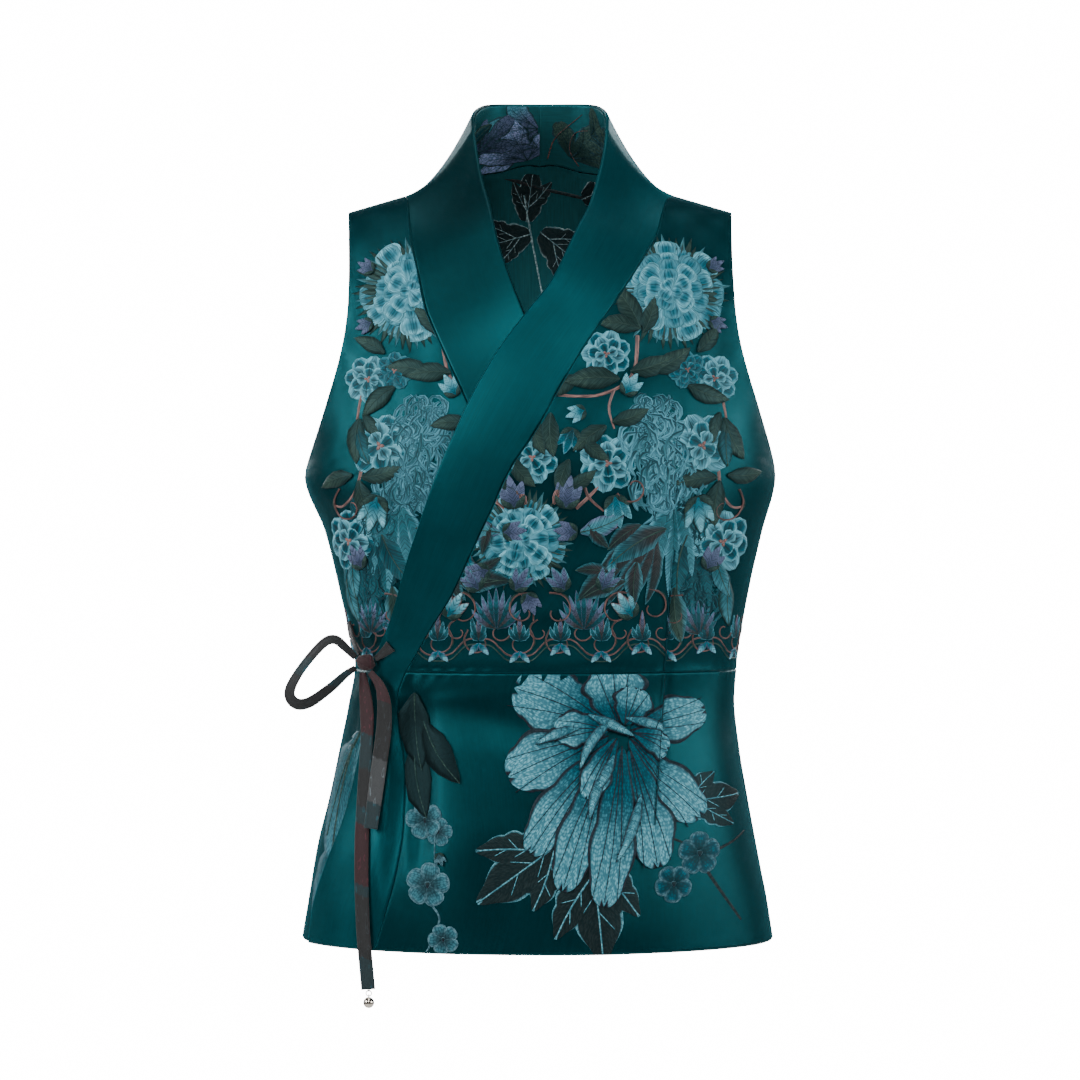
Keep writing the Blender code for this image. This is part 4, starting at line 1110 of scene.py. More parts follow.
def lying(rows):
    """Where a ribbon lies flat on the front that passes under the overlap."""
    return above("under", rows[..., HANG_X], rows[..., HANG_Z], rows[..., OVER])


def in_the_air(rows):
    return rows[..., :3], np.broadcast_to(FORWARD, rows[..., :3].shape)


def ribbon(rows, place_of):
    """A ribbon along a route, with a crease down it that deepens where it is pinched."""

    def place(across, along, depth):
        here = through(rows, along)
        point, face = place_of(here)
        after = place_of(through(rows, np.minimum(along + RIBBON_STEP, 1)))[0]
        before = place_of(through(rows, np.maximum(along - RIBBON_STEP, 0)))[0]
        ahead = unit(after - before)
        face = unit(face - ahead * (ahead * face).sum(-1, keepdims=True))
        turn = np.radians(here[..., TURN])[..., None]
        face = face * np.cos(turn) + np.cross(ahead, face) * np.sin(turn)
        side = np.cross(face, ahead) * (here[..., WIDTH] * (across - 0.5))[..., None]
        pinch = np.clip(1.3 - here[..., WIDTH] / RIBBON_FULL, 0.15, 1)
        crease = RIBBON_CREASE * pinch * (np.cos(3 * pi * across) - 0.5 * np.sin(9 * along + 4 * across))
        return point + side + face * (RIBBON_WALL / 2 - depth + crease)[..., None]

    return place


def make_knot(look):
    """The knot: a rounded core with two flattened turns of ribbon wrapped slantwise over it."""
    form = bmesh.new()
    bmesh.ops.create_uvsphere(form, u_segments=48, v_segments=32, radius=1.0)
    for corner in form.verts:
        x, y, z = corner.co
        lean = z * cos(KNOT_LEAN) + x * sin(KNOT_LEAN)
        other = x * cos(KNOT_LEAN) - z * sin(KNOT_LEAN)
        wrap = float(1 - ease(0.36, 0.46, abs(lean)))
        second = float(1 - ease(0.26, 0.36, abs(other - 0.12))) * float(ease(-0.05, 0.12, z))
        groove = 0.025 * cos(26 * lean) * wrap
        swell = 0.86 + 0.13 * max(wrap, 0.75 * second) + groove
        corner.co = [KNOT[i] + KNOT_RADII[i] * swell * (x, y, z)[i] for i in range(3)]
    knot = finish(form, "knot", look)
    weave = np.array([corner.co for corner in knot.data.vertices])
    store(knot.data, "weave", "vector", weave)
    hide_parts("tie_knot")
    return knot


def tube(form, points, radius, sides):
    """A round thread or wire along points, closed at its ends."""
    rings = []
    points = [Vector(p) for p in points]
    for i, point in enumerate(points):
        ahead = (points[min(i + 1, len(points) - 1)] - points[max(i - 1, 0)]).normalized()
        side = ahead.orthogonal().normalized()
        other = ahead.cross(side)
        turns = [2 * pi * k / sides for k in range(sides)]
        rings.append([form.verts.new(point + radius * (side * cos(t) + other * sin(t))) for t in turns])
    for low, high in zip(rings, rings[1:]):
        for k in range(sides):
            form.faces.new((low[k], low[k - 1], high[k - 1], high[k]))
    form.faces.new(rings[0])
    form.faces.new(rings[-1][::-1])


def ring(form, centre, radius, wire, way):
    """A closed ring of wire, whose hole faces along a way."""
    turned = Vector(way).to_track_quat("Z", "Y").to_matrix()
    around = [2 * pi * k / 48 for k in range(48)]
    loops = []
    for a in around:
        out = turned @ Vector((cos(a), sin(a), 0))
        up = turned @ Vector((0, 0, 1))
        turns = [2 * pi * k / 12 for k in range(12)]
        middle = Vector(centre) + out * radius
        loops.append([form.verts.new(middle + wire * (out * cos(t) + up * sin(t))) for t in turns])
    for i, loop in enumerate(loops):
        for k in range(12):
            form.faces.new((loops[i - 1][k], loops[i - 1][k - 1], loop[k - 1], loop[k]))


def make_bead(metal, thread):
    """The ring, the polished ball with its eye and cap, and the stitches that hold the ring."""
    low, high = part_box("bead_ring")
    centre = (low + high) / 2
    form = bmesh.new()
    ring(form, centre, RING_RADIUS, RING_WIRE, (0, 1, 0))
    hoop = finish(form, "ring_wire", metal)
    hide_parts("bead_ring")
    pivot = centre - Vector((0, 0, RING_RADIUS))
    form = bmesh.new()
    ring(form, pivot, EYE_RADIUS, EYE_WIRE, (1, 0, 0))
    eye = finish(form, "ball_eye", metal, "swinging_bead")
    form = bmesh.new()
    bmesh.ops.create_uvsphere(form, u_segments=64, v_segments=40, radius=BALL_RADIUS)
    for corner in form.verts:
        top = corner.co.z / BALL_RADIUS
        corner.co *= 1 + 0.02 * float(ease(0.8, 0.84, top))
        corner.co += pivot - Vector((0, 0, BALL_DROP))
    ball = finish(form, "ball", metal, "swinging_bead")
    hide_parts("bead")
    form = bmesh.new()
    for shift in STITCHES:
        top = centre + Vector((shift, 0, RING_RADIUS))
        around = [pi * k / 8 for k in range(17)]
        loop = [top + Vector((0, STITCH_LOOP * cos(a), STITCH_LOOP * sin(a) + STITCH_RISE)) for a in around]
        tube(form, loop, STITCH_THREAD, 6)
    stitches = finish(form, "ring_stitches", thread)


class Graph:
    """A material's nodes, built from its Principled shader backward."""

    def __init__(self, name, color, roughness, metallic=0.0):
        self.made = bpy.data.materials.new(name)
        self.made.use_nodes = True
        self.tree = self.made.node_tree
        self.shader = self.tree.nodes["Principled BSDF"]
        self.set(self.shader, {"Base Color": (*color, 1), "Roughness": roughness, "Metallic": metallic})
        self.made.diffuse_color = (*color, 1)

    def set(self, node, values):
        for key, value in values.items():
            node.inputs[key].default_value = value

    def add(self, kind, inputs=None, links=None, **settings):
        node = self.tree.nodes.new("ShaderNode" + kind)
        for key, value in settings.items():
            setattr(node, key, value)
        self.set(node, inputs or {})
        for key, source in (links or {}).items():
            self.tree.links.new(source, node.inputs[key])
        return node

    def place(self, name="weave"):
        return self.add("Attribute", attribute_name=name).outputs["Vector"]

    def noise(self, vector, scale, detail=3.0, roughness=0.5):
        stretched = self.add("VectorMath", {1: scale}, {0: vector}, operation="MULTIPLY")
        values = {"Scale": 1.0, "Detail": detail, "Roughness": roughness}
        return self.add("TexNoise", values, {"Vector": stretched.outputs[0]}).outputs["Fac"]

    def lines(self, vector, scale):
        """Fine parallel lines: a wave whose count along each direction is given by the scale."""
        stretched = self.add("VectorMath", {1: scale}, {0: vector}, operation="MULTIPLY")
        wave = self.add("TexWave", {"Scale": 1.0, "Distortion": 0.0}, {"Vector": stretched.outputs[0]},
                        wave_type="BANDS", bands_direction="DIAGONAL")
        return wave.outputs["Fac"]

    def between(self, fac, low, high, start=0.3, end=0.7):
        """Colours from low to high as a value goes from start to end."""
        ramp = self.add("ValToRGB", links={"Fac": fac})
        first, last = ramp.color_ramp.elements
        first.position, last.position = start, end
        first.color, last.color = (*low, 1), (*high, 1)
        return ramp.outputs["Color"]

    def times(self, color, other, factor=1.0):
        mix = self.add("Mix", {"Factor": factor}, data_type="RGBA", blend_type="MULTIPLY")
        self.tree.links.new(color, mix.inputs[6])
        self.tree.links.new(other, mix.inputs[7])
        return mix.outputs[2]

    def color(self, source):
        self.tree.links.new(source, self.shader.inputs["Base Color"])

    def bump(self, *heights):
        """Stacks bumps, each a height source, its depth in metres and its strength."""
        normal = None
        for source, depth, strength in heights:
            links = {"Height": source}
            if normal is not None:
                links["Normal"] = normal
            normal = self.add("Bump", {"Distance": depth, "Strength": strength}, links).outputs["Normal"]
        self.tree.links.new(normal, self.shader.inputs["Normal"])


def shade(color, amount):
    return tuple(channel * amount for channel in color)


def grey(amount):
    return (amount, amount, amount)


def satin(name, color, sheen):
    """Glossy teal satin: a fine twill, slight streaks along its threads and soft cloudy tones."""
    g = Graph(name, color, 0.36)
    place = g.place()
    clouds = g.noise(place, (14, 9, 14), 2)
    streaks = g.noise(place, (900, 45, 1), 2)
    tone = g.between(clouds, shade(color, 0.8), shade(color, 1.22))
    g.color(g.times(tone, g.between(streaks, grey(0.8), grey(1.15))))
    g.set(g.shader, {
        "Specular IOR Level": 0.5,
        "Specular Tint": (0.06, 0.85, 1.0, 1),
        "Sheen Weight": sheen,
        "Sheen Roughness": 0.35,
        "Sheen Tint": (0.06, 0.66, 0.8, 1),
        "Anisotropic": 0.5,
    })
    g.bump((g.lines(place, TWILL), 0.00005, 0.35), (streaks, 0.00012, 0.5))
    return g.made


def thread(name):
    """Silk embroidery: each piece's own colours, broken into fine strands along its stitches."""
    g = Graph(name, PALE_THREAD, 0.5)
    place = g.place("stitch")
    strands = g.noise(place, (820, 60, 1), 2, 0.6)
    tufts = g.noise(place, (300, 160, 1), 2)
    own = g.add("Attribute", attribute_name="dye").outputs["Color"]
    dark = g.between(strands, (0.22, 0.26, 0.28), grey(1.5), 0.36, 0.62)
    g.color(g.times(own, g.times(dark, g.between(tufts, grey(0.75), grey(1.2)))))
    g.set(g.shader, {
        "Specular IOR Level": 0.35,
        "Specular Tint": (0.35, 0.9, 1.0, 1),
        "Sheen Weight": 0.1,
        "Sheen Roughness": 0.4,
        "Sheen Tint": (0.3, 0.75, 0.85, 1),
    })
    g.bump((strands, 0.0006, 0.9), (tufts, 0.0005, 0.5))
    return g.made


def woven_pattern(name):
    """The skirt's woven flowers: each shape's own colours, stippled by rows of short dark floats."""
    g = Graph(name, PALE_THREAD, 0.55)
    place = g.place("stitch")
    stretched = g.add("VectorMath", {1: STIPPLE}, {0: place}, operation="MULTIPLY")
    cells = g.add("TexVoronoi", {"Scale": 1.0, "Randomness": 0.55}, {"Vector": stretched.outputs[0]})
    strands = g.noise(place, (1300, 200, 1), 2)
    own = g.add("Attribute", attribute_name="dye").outputs["Color"]
    dots = g.between(cells.outputs["Distance"], grey(1.15), (0.34, 0.46, 0.5), 0.3, 0.62)
    g.color(g.times(own, g.times(dots, g.between(strands, grey(0.72), grey(1.2)))))
    g.set(g.shader, {"Specular IOR Level": 0.3, "Specular Tint": (0.35, 0.9, 1.0, 1)})
    g.bump((cells.outputs["Distance"], 0.0004, 0.5), (strands, 0.0003, 0.5))
    return g.made


def plush(name):
    """The ribbon's soft charcoal pile, with maroon and teal stretches and pale pattern outlines."""
    g = Graph(name, CHARCOAL, 0.75)
    place = g.place()
    own = g.add("Attribute", attribute_name="dye").outputs["Color"]
    pile = g.noise(place, (1400, 1400, 1400), 3, 0.7)
    veins = g.noise(place, (260, 75, 1), 1)
    pale = g.between(veins, grey(1), (3.2, 3.6, 3.8), 0.6, 0.63)
    dark = g.between(veins, grey(1), (0.31, 0.28, 0.26), 0.63, 0.66)
    speckle = g.between(pile, grey(0.6), grey(1.4))
    g.color(g.times(g.times(own, g.times(pale, dark)), speckle))
    g.set(g.shader, {"Sheen Weight": 0.2, "Sheen Roughness": 0.5})
    g.bump((pile, 0.0003, 0.6), (veins, 0.0004, 0.5))
    return g.made


def polished(name):
    """Pale gold: mirror bright, with faint scratches that soften its shine."""
    g = Graph(name, PALE_GOLD, 0.12, 1.0)
    place = g.add("TexCoord").outputs["Object"]
    wear = g.noise(place, (900, 900, 3000), 4)
    rough = g.add("MapRange", {"To Min": 0.06, "To Max": 0.24}, {"Value": wear})
    g.tree.links.new(rough.outputs["Result"], g.shader.inputs["Roughness"])
    g.color(g.between(wear, shade(PALE_GOLD, 0.85), PALE_GOLD))
    g.bump((wear, 0.00004, 0.3))
    return g.made


def plain(name, color, roughness):
    return Graph(name, color, roughness).made


def heading(way):
    """Where a way in degrees points, in x and z."""
    return np.array((cos(radians(way)), sin(radians(way))))


def beside(way):
    """Where the left of a way in degrees points, in x and z."""
    return np.array((-sin(radians(way)), cos(radians(way))))


# Embroidery. Each motif is made of blades: small domed patches along a curved axis, flat in x and z.

def blade(axis, width, kind, dyes, height=0.0):
    """One petal or leaf: its corners in x and z, its heights, its colours and its stitch lines."""
    peak, rounding, lobes, rise, rows, columns, slant, heart = BLADES[kind]
    across = np.r_[-1, np.linspace(RIM - 1, 1 - RIM, columns - 2), 1][None, :]
    along = np.r_[0, 1 - (1 - np.linspace(RIM, 1 - RIM, rows - 2)) ** TOWARD_TIP, 1][:, None]
    line = through(axis, along[:, 0])
    ahead = unit(np.gradient(line, axis=0))
    side = np.stack([ahead[:, 1], -ahead[:, 0]], -1)
    reach = np.linalg.norm(line[-1] - line[0])
    half = width / 2 * np.sin(pi * np.clip(along ** peak, 0, 1)) ** rounding
    scalloped = min(lobes, 1)
    half = np.nan_to_num(half) * (1 - 0.16 * scalloped * (1 - abs(np.cos(pi * lobes * along))))
    forward = reach * 0.07 * scalloped * (abs(np.cos(1.5 * pi * across)) - 0.5) * along ** 3
    flat = line[:, None] + side[:, None] * (across * half)[..., None] + ahead[:, None] * forward[..., None]
    rim = np.maximum(abs(across) ** 4, abs(2 * along - 1) ** 8)
    last = (abs(across) == 1) | (along == 0) | (along == 1)
    raised = np.where(last, -THREAD_SINK, height + rise * (1 - rim))
    base, tip, edge = (np.array(color) for color in dyes)
    if heart is None:
        paler = ease(0.25, 0.85, along) + 0 * across
    else:
        paler = ease(0.3, 0.85, np.hypot(across, (along - heart) / (1 - heart)))
    color = base + (tip - base) * paler[..., None]
    tip_from = BROAD_TIP if rows > BROAD_ROWS else NARROW_TIP
    outline = (abs(across) > OUTLINE_FROM) | (along > tip_from)
    color = np.where(outline[..., None], edge, color)
    out = across * half if slant else across * width / 2
    first = reach * along - slant * abs(out) if slant else out
    second = abs(out) if slant else reach * along
    lines = np.stack(np.broadcast_arrays(first, second, axis[0][0] + axis[0][1]), -1)
    return flat, raised, color, lines


def spray(at, way, length, bend=0.0):
    """A curved axis from a point: it starts along a way in degrees and swings by the bend."""
    points = [np.array(at, float)]
    for k in range(3):
        points.append(points[-1] + length / 3 * heading(way + bend * (k + 0.5) / 3))
    return points


def strand(points, width, color, height=0.0002, taper=0.35):
    """A stem or outline of even stitches through the points."""
    count = max(8, 4 * len(points))
    along = np.linspace(0, 1, count)
    line = through([np.array(p, float) for p in points], along)
    ahead = unit(np.gradient(line, axis=0))
    side = np.stack([ahead[:, 1], -ahead[:, 0]], -1)
    half = width / 2 * (1 - taper * along)
    across = np.array((-1.0, -0.4, 0.4, 1.0))
    flat = line[:, None] + side[:, None] * (across[None, :] * half[:, None])[..., None]
    raised = height + 0.0004 * (1 - abs(across[None, :]) ** 3) - THREAD_SINK * (abs(across[None, :]) > 0.9)
    run = np.cumsum(np.r_[0, np.linalg.norm(np.diff(line, axis=0), axis=1)])
    lines = np.stack(np.broadcast_arrays(across[None, :] * half[:, None], run[:, None], 0.0), -1)
    dyed = np.broadcast_to(np.array(color, float), flat.shape[:2] + (3,))
    return flat, raised + 0 * flat[..., 0], dyed, lines


def pompom(at, size, way=0, dyes=None):
    """A round peony head: rings of overlapping scallops, dark at the heart and pale at the rim."""
    made = []
    for k in range(48):
        fringe = (OLIVE, OLIVE_LIGHT, OLIVE) if k % 3 else (OLIVE, OLIVE_LIGHT, MIST)
        reach = (1.16 + 0.16 * CHANCE.random()) * size
        made.append(blade(spray(at, way + 7.5 * k, reach, 14), 0.17 * size, "sliver", fringe))
    for i, (count, start, reach, width) in enumerate(POMPOM_RINGS):
        for k in range(count):
            turn = way + 360 * (k + 0.5 * (i % 2)) / count
            base = np.array(at) + size * start * heading(turn)
            turn += 26 * (CHANCE.random() - 0.5)
            fuller = 0.85 + 0.35 * CHANCE.random()
            over = LAYER * i + NEIGHBOUR * (k % 2)
            look = dyes or (SEA, ICE, PALE_THREAD if (i + k) % 2 else MIST_BLUE)
            petal = spray(base, turn, reach * size * fuller)
            made.append(blade(petal, width * size * fuller, "scale", look, over))
    return made


def blossom(at, size, way=0, dyes=None):
    """A small open bloom of two rows of ruffled petals and a coral heart."""
    made = []
    for i, (count, reach, width) in enumerate(((7, 1.0, 0.8), (6, 0.74, 0.62), (4, 0.46, 0.5))):
        for k in range(count):
            turn = way + 360 * (k + 0.5 * i) / count
            look = dyes or (SEA_DARK, (SEA, ICE)[k % 2], PALE_THREAD)
            over = LAYER * i + NEIGHBOUR * (k % 2)
            made.append(blade(spray(at, turn, reach * size, 8), width * size, "ruffle", look, over))
    for k in range(3):
        heart = spray(at, way + 120 * k, 0.16 * size)
        made.append(blade(heart, 0.12 * size, "leaf", (CORAL, CORAL, COPPER), 3 * LAYER))
    return made


def plum(at, size, way=0, dyes=None):
    """A plain five-petalled plum blossom with a pale outline and a ringed heart."""
    look = dyes or (SEA_DARK, SEA, SLATE)
    made = [blade(spray(at, way + 72 * k, size), 0.95 * size, "round", look) for k in range(5)]
    heart = spray((at[0], at[1] - 0.16 * size), 90, 0.32 * size)
    return made + [blade(heart, 0.3 * size, "round", (PLUM, CHARCOAL_THREAD, SLATE), LAYER)]


def bud(at, size, way=90, dyes=None):
    """A closed bud in a cup of two small leaves."""
    look = dyes or (LAVENDER_DARK, LAVENDER, LAVENDER)
    made = [blade(spray(at, way + turn, size), 0.42 * size, "leaf", look) for turn in (-26, 26)]
    made.append(blade(spray(at, way, 1.15 * size), 0.46 * size, "leaf", look, 0.0002))
    for turn in (-62, 62):
        cup = spray(at, way + turn, 0.6 * size, -turn / 2)
        made.append(blade(cup, 0.26 * size, "leaf", OLIVE_LOOK, LAYER))
    return made


def leaf(at, size, way=0, dyes=None):
    """A bent leaf with a raised midrib."""
    axis = spray(at, way, size, 24)
    midrib = strand(axis, 0.03 * size, OLIVE_LIGHT, 0.0005)
    return [blade(axis, 0.44 * size, "leaf", dyes or OLIVE_LOOK), midrib]


def toothed(at, size, way=0, dyes=None):
    """A three-lobed charcoal leaf with pale veins, as woven on the skirt."""
    look = dyes or (CHARCOAL_THREAD, CHARCOAL_THREAD, PALE_THREAD)
    made = []
    for turn, share, start in ((-44, 0.62, 0.26), (42, 0.58, 0.18), (0, 1.0, 0.0)):
        base = np.array(at) + size * start * heading(way)
        axis = spray(base, way + turn, share * size, -turn / 3)
        made.append(blade(axis, 0.56 * share * size, "saw", look, 0.0001))
        made.append(strand(axis, 0.022 * size, look[2], 0.0004))
        for vein, at_share in ((38, 0.3), (-38, 0.42), (36, 0.58)):
            root = through(axis, np.array(at_share))
            side_vein = spray(root, way + turn + vein, 0.2 * share * size)
            made.append(strand(side_vein, 0.012 * size, look[2], 0.0004))
    return made


def curly(at, size, way=-90, dyes=None):
    """A shaggy flower head: many thin strands of pale thread that curl as they flow one way."""
    made = []
    for k in range(110):
        start = np.array(at) + size * (CHANCE.random(2) - 0.5) * (0.85, 1.1)
        turn = way + 80 * (CHANCE.random() - 0.5)
        bend = (-1) ** k * (60 + 150 * CHANCE.random())
        pale = (dyes or (MIST, ICE))[k % 3 > 0]
        axis = spray(start, turn - bend / 2, size * (0.3 + 0.35 * CHANCE.random()), bend)
        made.append(blade(axis, 0.075 * size, "curl", (SEA_DARK, pale, pale), 0.00006 * (k % 8)))
    return made


def plume(at, size, way=-90, dyes=None):
    """A fan of long bending leaves, pale along their edges."""
    made = []
    for k, turn in enumerate((-58, -36, -14, 10, 34)):
        axis = spray(at, way + turn, size * (1 - 0.09 * abs(k - 2)), -turn * 0.9)
        made.append(blade(axis, 0.17 * size, "leaf", dyes or DUSKY_PALE, NEIGHBOUR * k))
    return made


def lotus(at, size, way=90, dyes=None):
    """A half-open palmette of lavender and brown petals."""
    made = []
    for k, turn in enumerate((-84, -60, -38, -18, 18, 38, 60, 84, 0)):
        look = (BROWN, LAVENDER, MIST) if k % 2 else (SEA_DARK, SEA_GREY, LAVENDER)
        axis = spray(at, way + turn * 0.85, size * (1.05 - 0.003 * abs(turn)), -turn * 0.5)
        made.append(blade(axis, 0.19 * size, "leaf", look, 0.00005 * k))
    return made


def scroll(at, size, way, turn):
    """A copper tendril that curls in at its end, with a small hook beside it. It turns left or right."""
    points = []
    for share in np.linspace(0, 1, 9):
        angle = radians(way) + turn * 5.2 * share
        points.append(np.array(at) + size * (1 - 0.78 * share) * np.array((cos(angle), sin(angle))))
    hook = spray(points[2], way + turn * 20, 0.6 * size, turn * -80)
    return [strand(points, 0.0016, COPPER), strand(hook, 0.0012, OLIVE_LIGHT)]


def wing(at, size, way=0, dyes=None):
    """A broad patch of three ribbed lobes in lavender and pale blue, with dark borders."""
    made = []
    look = dyes or (LAVENDER_DARK, LAVENDER, SLATE_DARK)
    for turn, share in ((-40, 0.8), (40, 0.8), (0, 1.0)):
        axis = spray(at, way + turn, share * size, turn / 2)
        made.append(blade(axis, 0.5 * share * size, "lobed", look, 0.0001))
        for bend in (-30, 0, 30):
            rib = spray(at, way + turn, 0.8 * share * size, bend)
            made.append(strand(rib, 0.01 * size, look[2], LAYER))
    return made


MOTIFS = {"pompom": pompom, "blossom": blossom, "plum": plum, "bud": bud, "leaf": leaf, "toothed": toothed,
          "curly": curly, "plume": plume, "lotus": lotus, "scroll": scroll, "wing": wing}


def laid_out(rows, mirror=False):
    """The patches of a table of motifs, or of its mirror image in the centre line."""
    made = []
    for i, (kind, x, z, size, way, dyes) in enumerate(rows):
        if mirror:
            x, way = -x, 180 - way
        if mirror and kind == "scroll":
            dyes = -dyes
        patches = MOTIFS[kind]((x, z), size, way, dyes)
        over = MOTIF_STEP * (i % MOTIF_LEVELS) + LIFTS.get(kind, 0)
        made += [(flat, raised + over, color, lines) for flat, raised, color, lines in patches]
    return made


def stems(rows, mirror=False):
    side = -1 if mirror else 1
    return [strand([(side * x, z) for x, z in points], width, color) for width, color, points in rows]


def border():
    """The waved copper border over the waist, with scrolls, two drops and a fan of fronds in each."""
    made, half = [], BORDER_STEP / 2
    for k in range(round((BORDER_ENDS[1] - BORDER_ENDS[0]) / BORDER_STEP)):
        x, side = BORDER_ENDS[0] + (k + 0.5) * BORDER_STEP, (-1) ** k
        rise = BORDER_WAVE * side
        line = ((-1, 0), (-0.5, 1), (0.5, 1), (1, 0))
        wave = [(x + half * share, BORDER_Z + rise * up) for share, up in line]
        made.append(strand(wave, BORDER_THREAD, COPPER, taper=0))
        made.append(strand([(px, z - LOWER_BY) for px, z in wave], LOWER_THREAD, OLIVE_LIGHT, taper=0))
        for shift, up, size, way, turn in BORDER_SCROLLS:
            made += scroll((x + half * shift, BORDER_Z + up), size, way + 40 * turn * side, turn * side)
        for turn in (-40, 40):
            drop = spray((x, BORDER_Z + rise / 2), 270 + turn, DROP_LENGTH)
            made.append(blade(drop, DROP_WIDTH, "leaf", (SEA, PALE_THREAD, LAVENDER), LAYER))
        for turn, length in FRONDS:
            look = (SEA_DARK, SEA_GREY, ICE) if turn % 60 else (BROWN, LAVENDER, COPPER)
            reach = length * (0.75 + 0.5 * CHANCE.random())
            frond = spray((x, BORDER_Z + FROND_START), 90 + turn, reach, -turn)
            made.append(blade(frond, FROND_WIDTH, "leaf", look, LAYER))
    return made


def peony():
    """The skirt's one large peony: broad stippled petals with dark outlines and striped turned edges."""
    made = []
    for k, (base_x, base_z, way, length, width, bend) in enumerate(PEONY_PETALS):
        axis = spray((base_x, base_z), way, length, bend)
        made.append(blade(axis, width, "lobed", (SEA, PALE_THREAD, PLUM), PETAL_LAYER * k))
        for turn in (-0.25, 0.0, 0.25):
            rib = [point + turn * width * beside(way) * j / 3 for j, point in enumerate(axis)]
            made.append(strand(rib, RIB_WIDTH, PLUM, PETAL_LAYER * (k + 1)))
    for base_x, base_z, way, length, bend in PEONY_EDGES:
        axis = spray((base_x, base_z), way, length, bend)
        made.append(blade(axis, EDGE_WIDTH, "leaf", (MIST_BLUE, PALE_THREAD, PLUM), EDGE_LIFT))
        for share in np.linspace(0.15, 0.85, 7):
            at = through(axis, np.array(share)) - STRIPE_START * beside(way)
            stripe = spray(at, way + STRIPE_TURN, STRIPE_LENGTH)
            made.append(strand(stripe, STRIPE_WIDTH, SLATE_DARK, STRIPE_LIFT))
    return made


def darted(x, z):
    """Where a place on the flat overlap lands once its fish-eye dart is sewn, and whether it shows."""
    at = read(DART, DART_Z, DART_X, z)
    end = np.where(z > WAIST, DART[0][DART_Z], DART[-1][DART_Z])
    taken = DART_TAKE * ease(0.0, 0.5, np.clip((z - end) / (WAIST - end), 0, 1))
    lost = (x > at) & (x < at + taken)
    return np.where(x < at, x, np.maximum(at, x - taken)), ~lost


def wrapped(face, x, z):
    """The angle and level of a place in a flat pattern, which goes on round the side at an even pace."""
    angle, level = spot(face, x, z)
    past = np.clip(abs(x) / half_width(x, level) - EVEN_FROM, 0, None)
    start = np.arcsin(EVEN_FROM)
    return np.where(past > 0, np.sign(x) * (start + past / np.cos(start)), angle), level


def on_panel(layer, low, high):
    """Places embroidery on a front panel between two levels. It also says which corners are on it."""
    side = 1 if layer == "over" else -1

    def place(x, z, height):
        shown = True
        if layer == "over":
            x, shown = darted(x, z)
        angle, level = wrapped("front", x, z)
        held = np.clip(level, low, high)
        ends = np.sort(np.stack([seam_angle(layer, held), side * side_angle(held)]), axis=0)
        inner = np.clip(angle, ends[0] + PANEL_MARGIN, ends[1] - PANEL_MARGIN)
        return on_front(layer, inner, held, height), shown & (held == level) & (inner == angle)

    return place


def on_facing(layer):
    """Places the facing's pattern, by distance from the centre back and from the neck seam."""

    def place(out, up, height):
        along, across = out / FACING_LENGTH, up / FACING_WIDTH
        held_along = np.clip(along, *FACING_ENDS)
        held_across = np.clip(across, FACING_INSET + FACING_MARGIN, 1 - FACING_INSET - FACING_MARGIN)
        depth = BAND_WALL + LINING_GAP + LINING_WALL + height
        shown = (held_along == along) & (held_across == across)
        return on_band(layer, held_along - 1, held_across, depth), shown

    return place


def on_back_panel(low, high, inside=False):
    """Places embroidery on the back, or on its lining where inside."""

    def place(x, z, height):
        angle, level = wrapped("back", x, z)
        held = np.clip(level, low, high)
        edge = side_angle(held) - PANEL_MARGIN
        inner = np.clip(angle, -edge, edge)
        if inside:
            height = -height - WALL - LINING_GAP - LINING_WALL
        shown = (held == level) & (inner == angle)
        if high > WAIST:
            seam = neck_seam(np.arcsin(np.clip(abs(x) / NECK_POINT, 0, 1)) / (pi / 2))[1]
            held = np.where(abs(x) < NECK_POINT, np.minimum(held, seam - NECK_MARGIN), held)
            shown = shown & (held >= level)
        return on_back(inner, held, height), shown

    return place


def embroider(name, patches, place, look):
    """Sews patches on a panel as one piece, and cuts them off at the panel's edges."""
    sizes = [patch[1].shape for patch in patches]
    flat = np.concatenate([patch[0].reshape(-1, 2) for patch in patches])
    raised = np.concatenate([patch[1].ravel() for patch in patches])
    colors = np.concatenate([np.array(patch[2]).reshape(-1, 3) for patch in patches])
    lines = np.concatenate([patch[3].reshape(-1, 3) for patch in patches])
    points, shown = place(flat[:, 0], flat[:, 1], raised)
    faces, first = [], 0
    for rows, columns in sizes:
        index = first + np.arange(rows * columns).reshape(rows, columns)
        corners = index[:-1, :-1], index[:-1, 1:], index[1:, 1:], index[1:, :-1]
        square = np.stack(corners, -1).reshape(-1, 4)
        faces.append(square[shown[square].any(axis=1)])
        first += rows * columns
    faces = np.concatenate(faces)
    used, faces = np.unique(faces, return_inverse=True)
    mesh = bpy.data.meshes.new(name)
    mesh.from_pydata(points[used].tolist(), [], faces.reshape(-1, 4).tolist())
    store(mesh, "dye", "color", np.c_[colors[used], np.ones(len(used))])
    store(mesh, "stitch", "vector", lines[used])
    mesh.materials.append(look)
    mesh.shade_smooth()
    made = bpy.data.objects.new(name, mesh)
    bpy.context.scene.collection.objects.link(made)
    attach(made, "root")
    return made


def dye(made):
    """Gives a ribbon its colours by height, with slanting borders between them."""
    points = np.array([corner.co for corner in made.data.vertices])
    height = points[:, 2] + DYE_SLANT * (points[:, 0] - points[:, 0].mean())
    colors = np.ones((len(points), 4))
    for top, color in DYES[made.name]:
        colors[height <= top, :3] = color
    store(made.data, "dye", "color", colors)


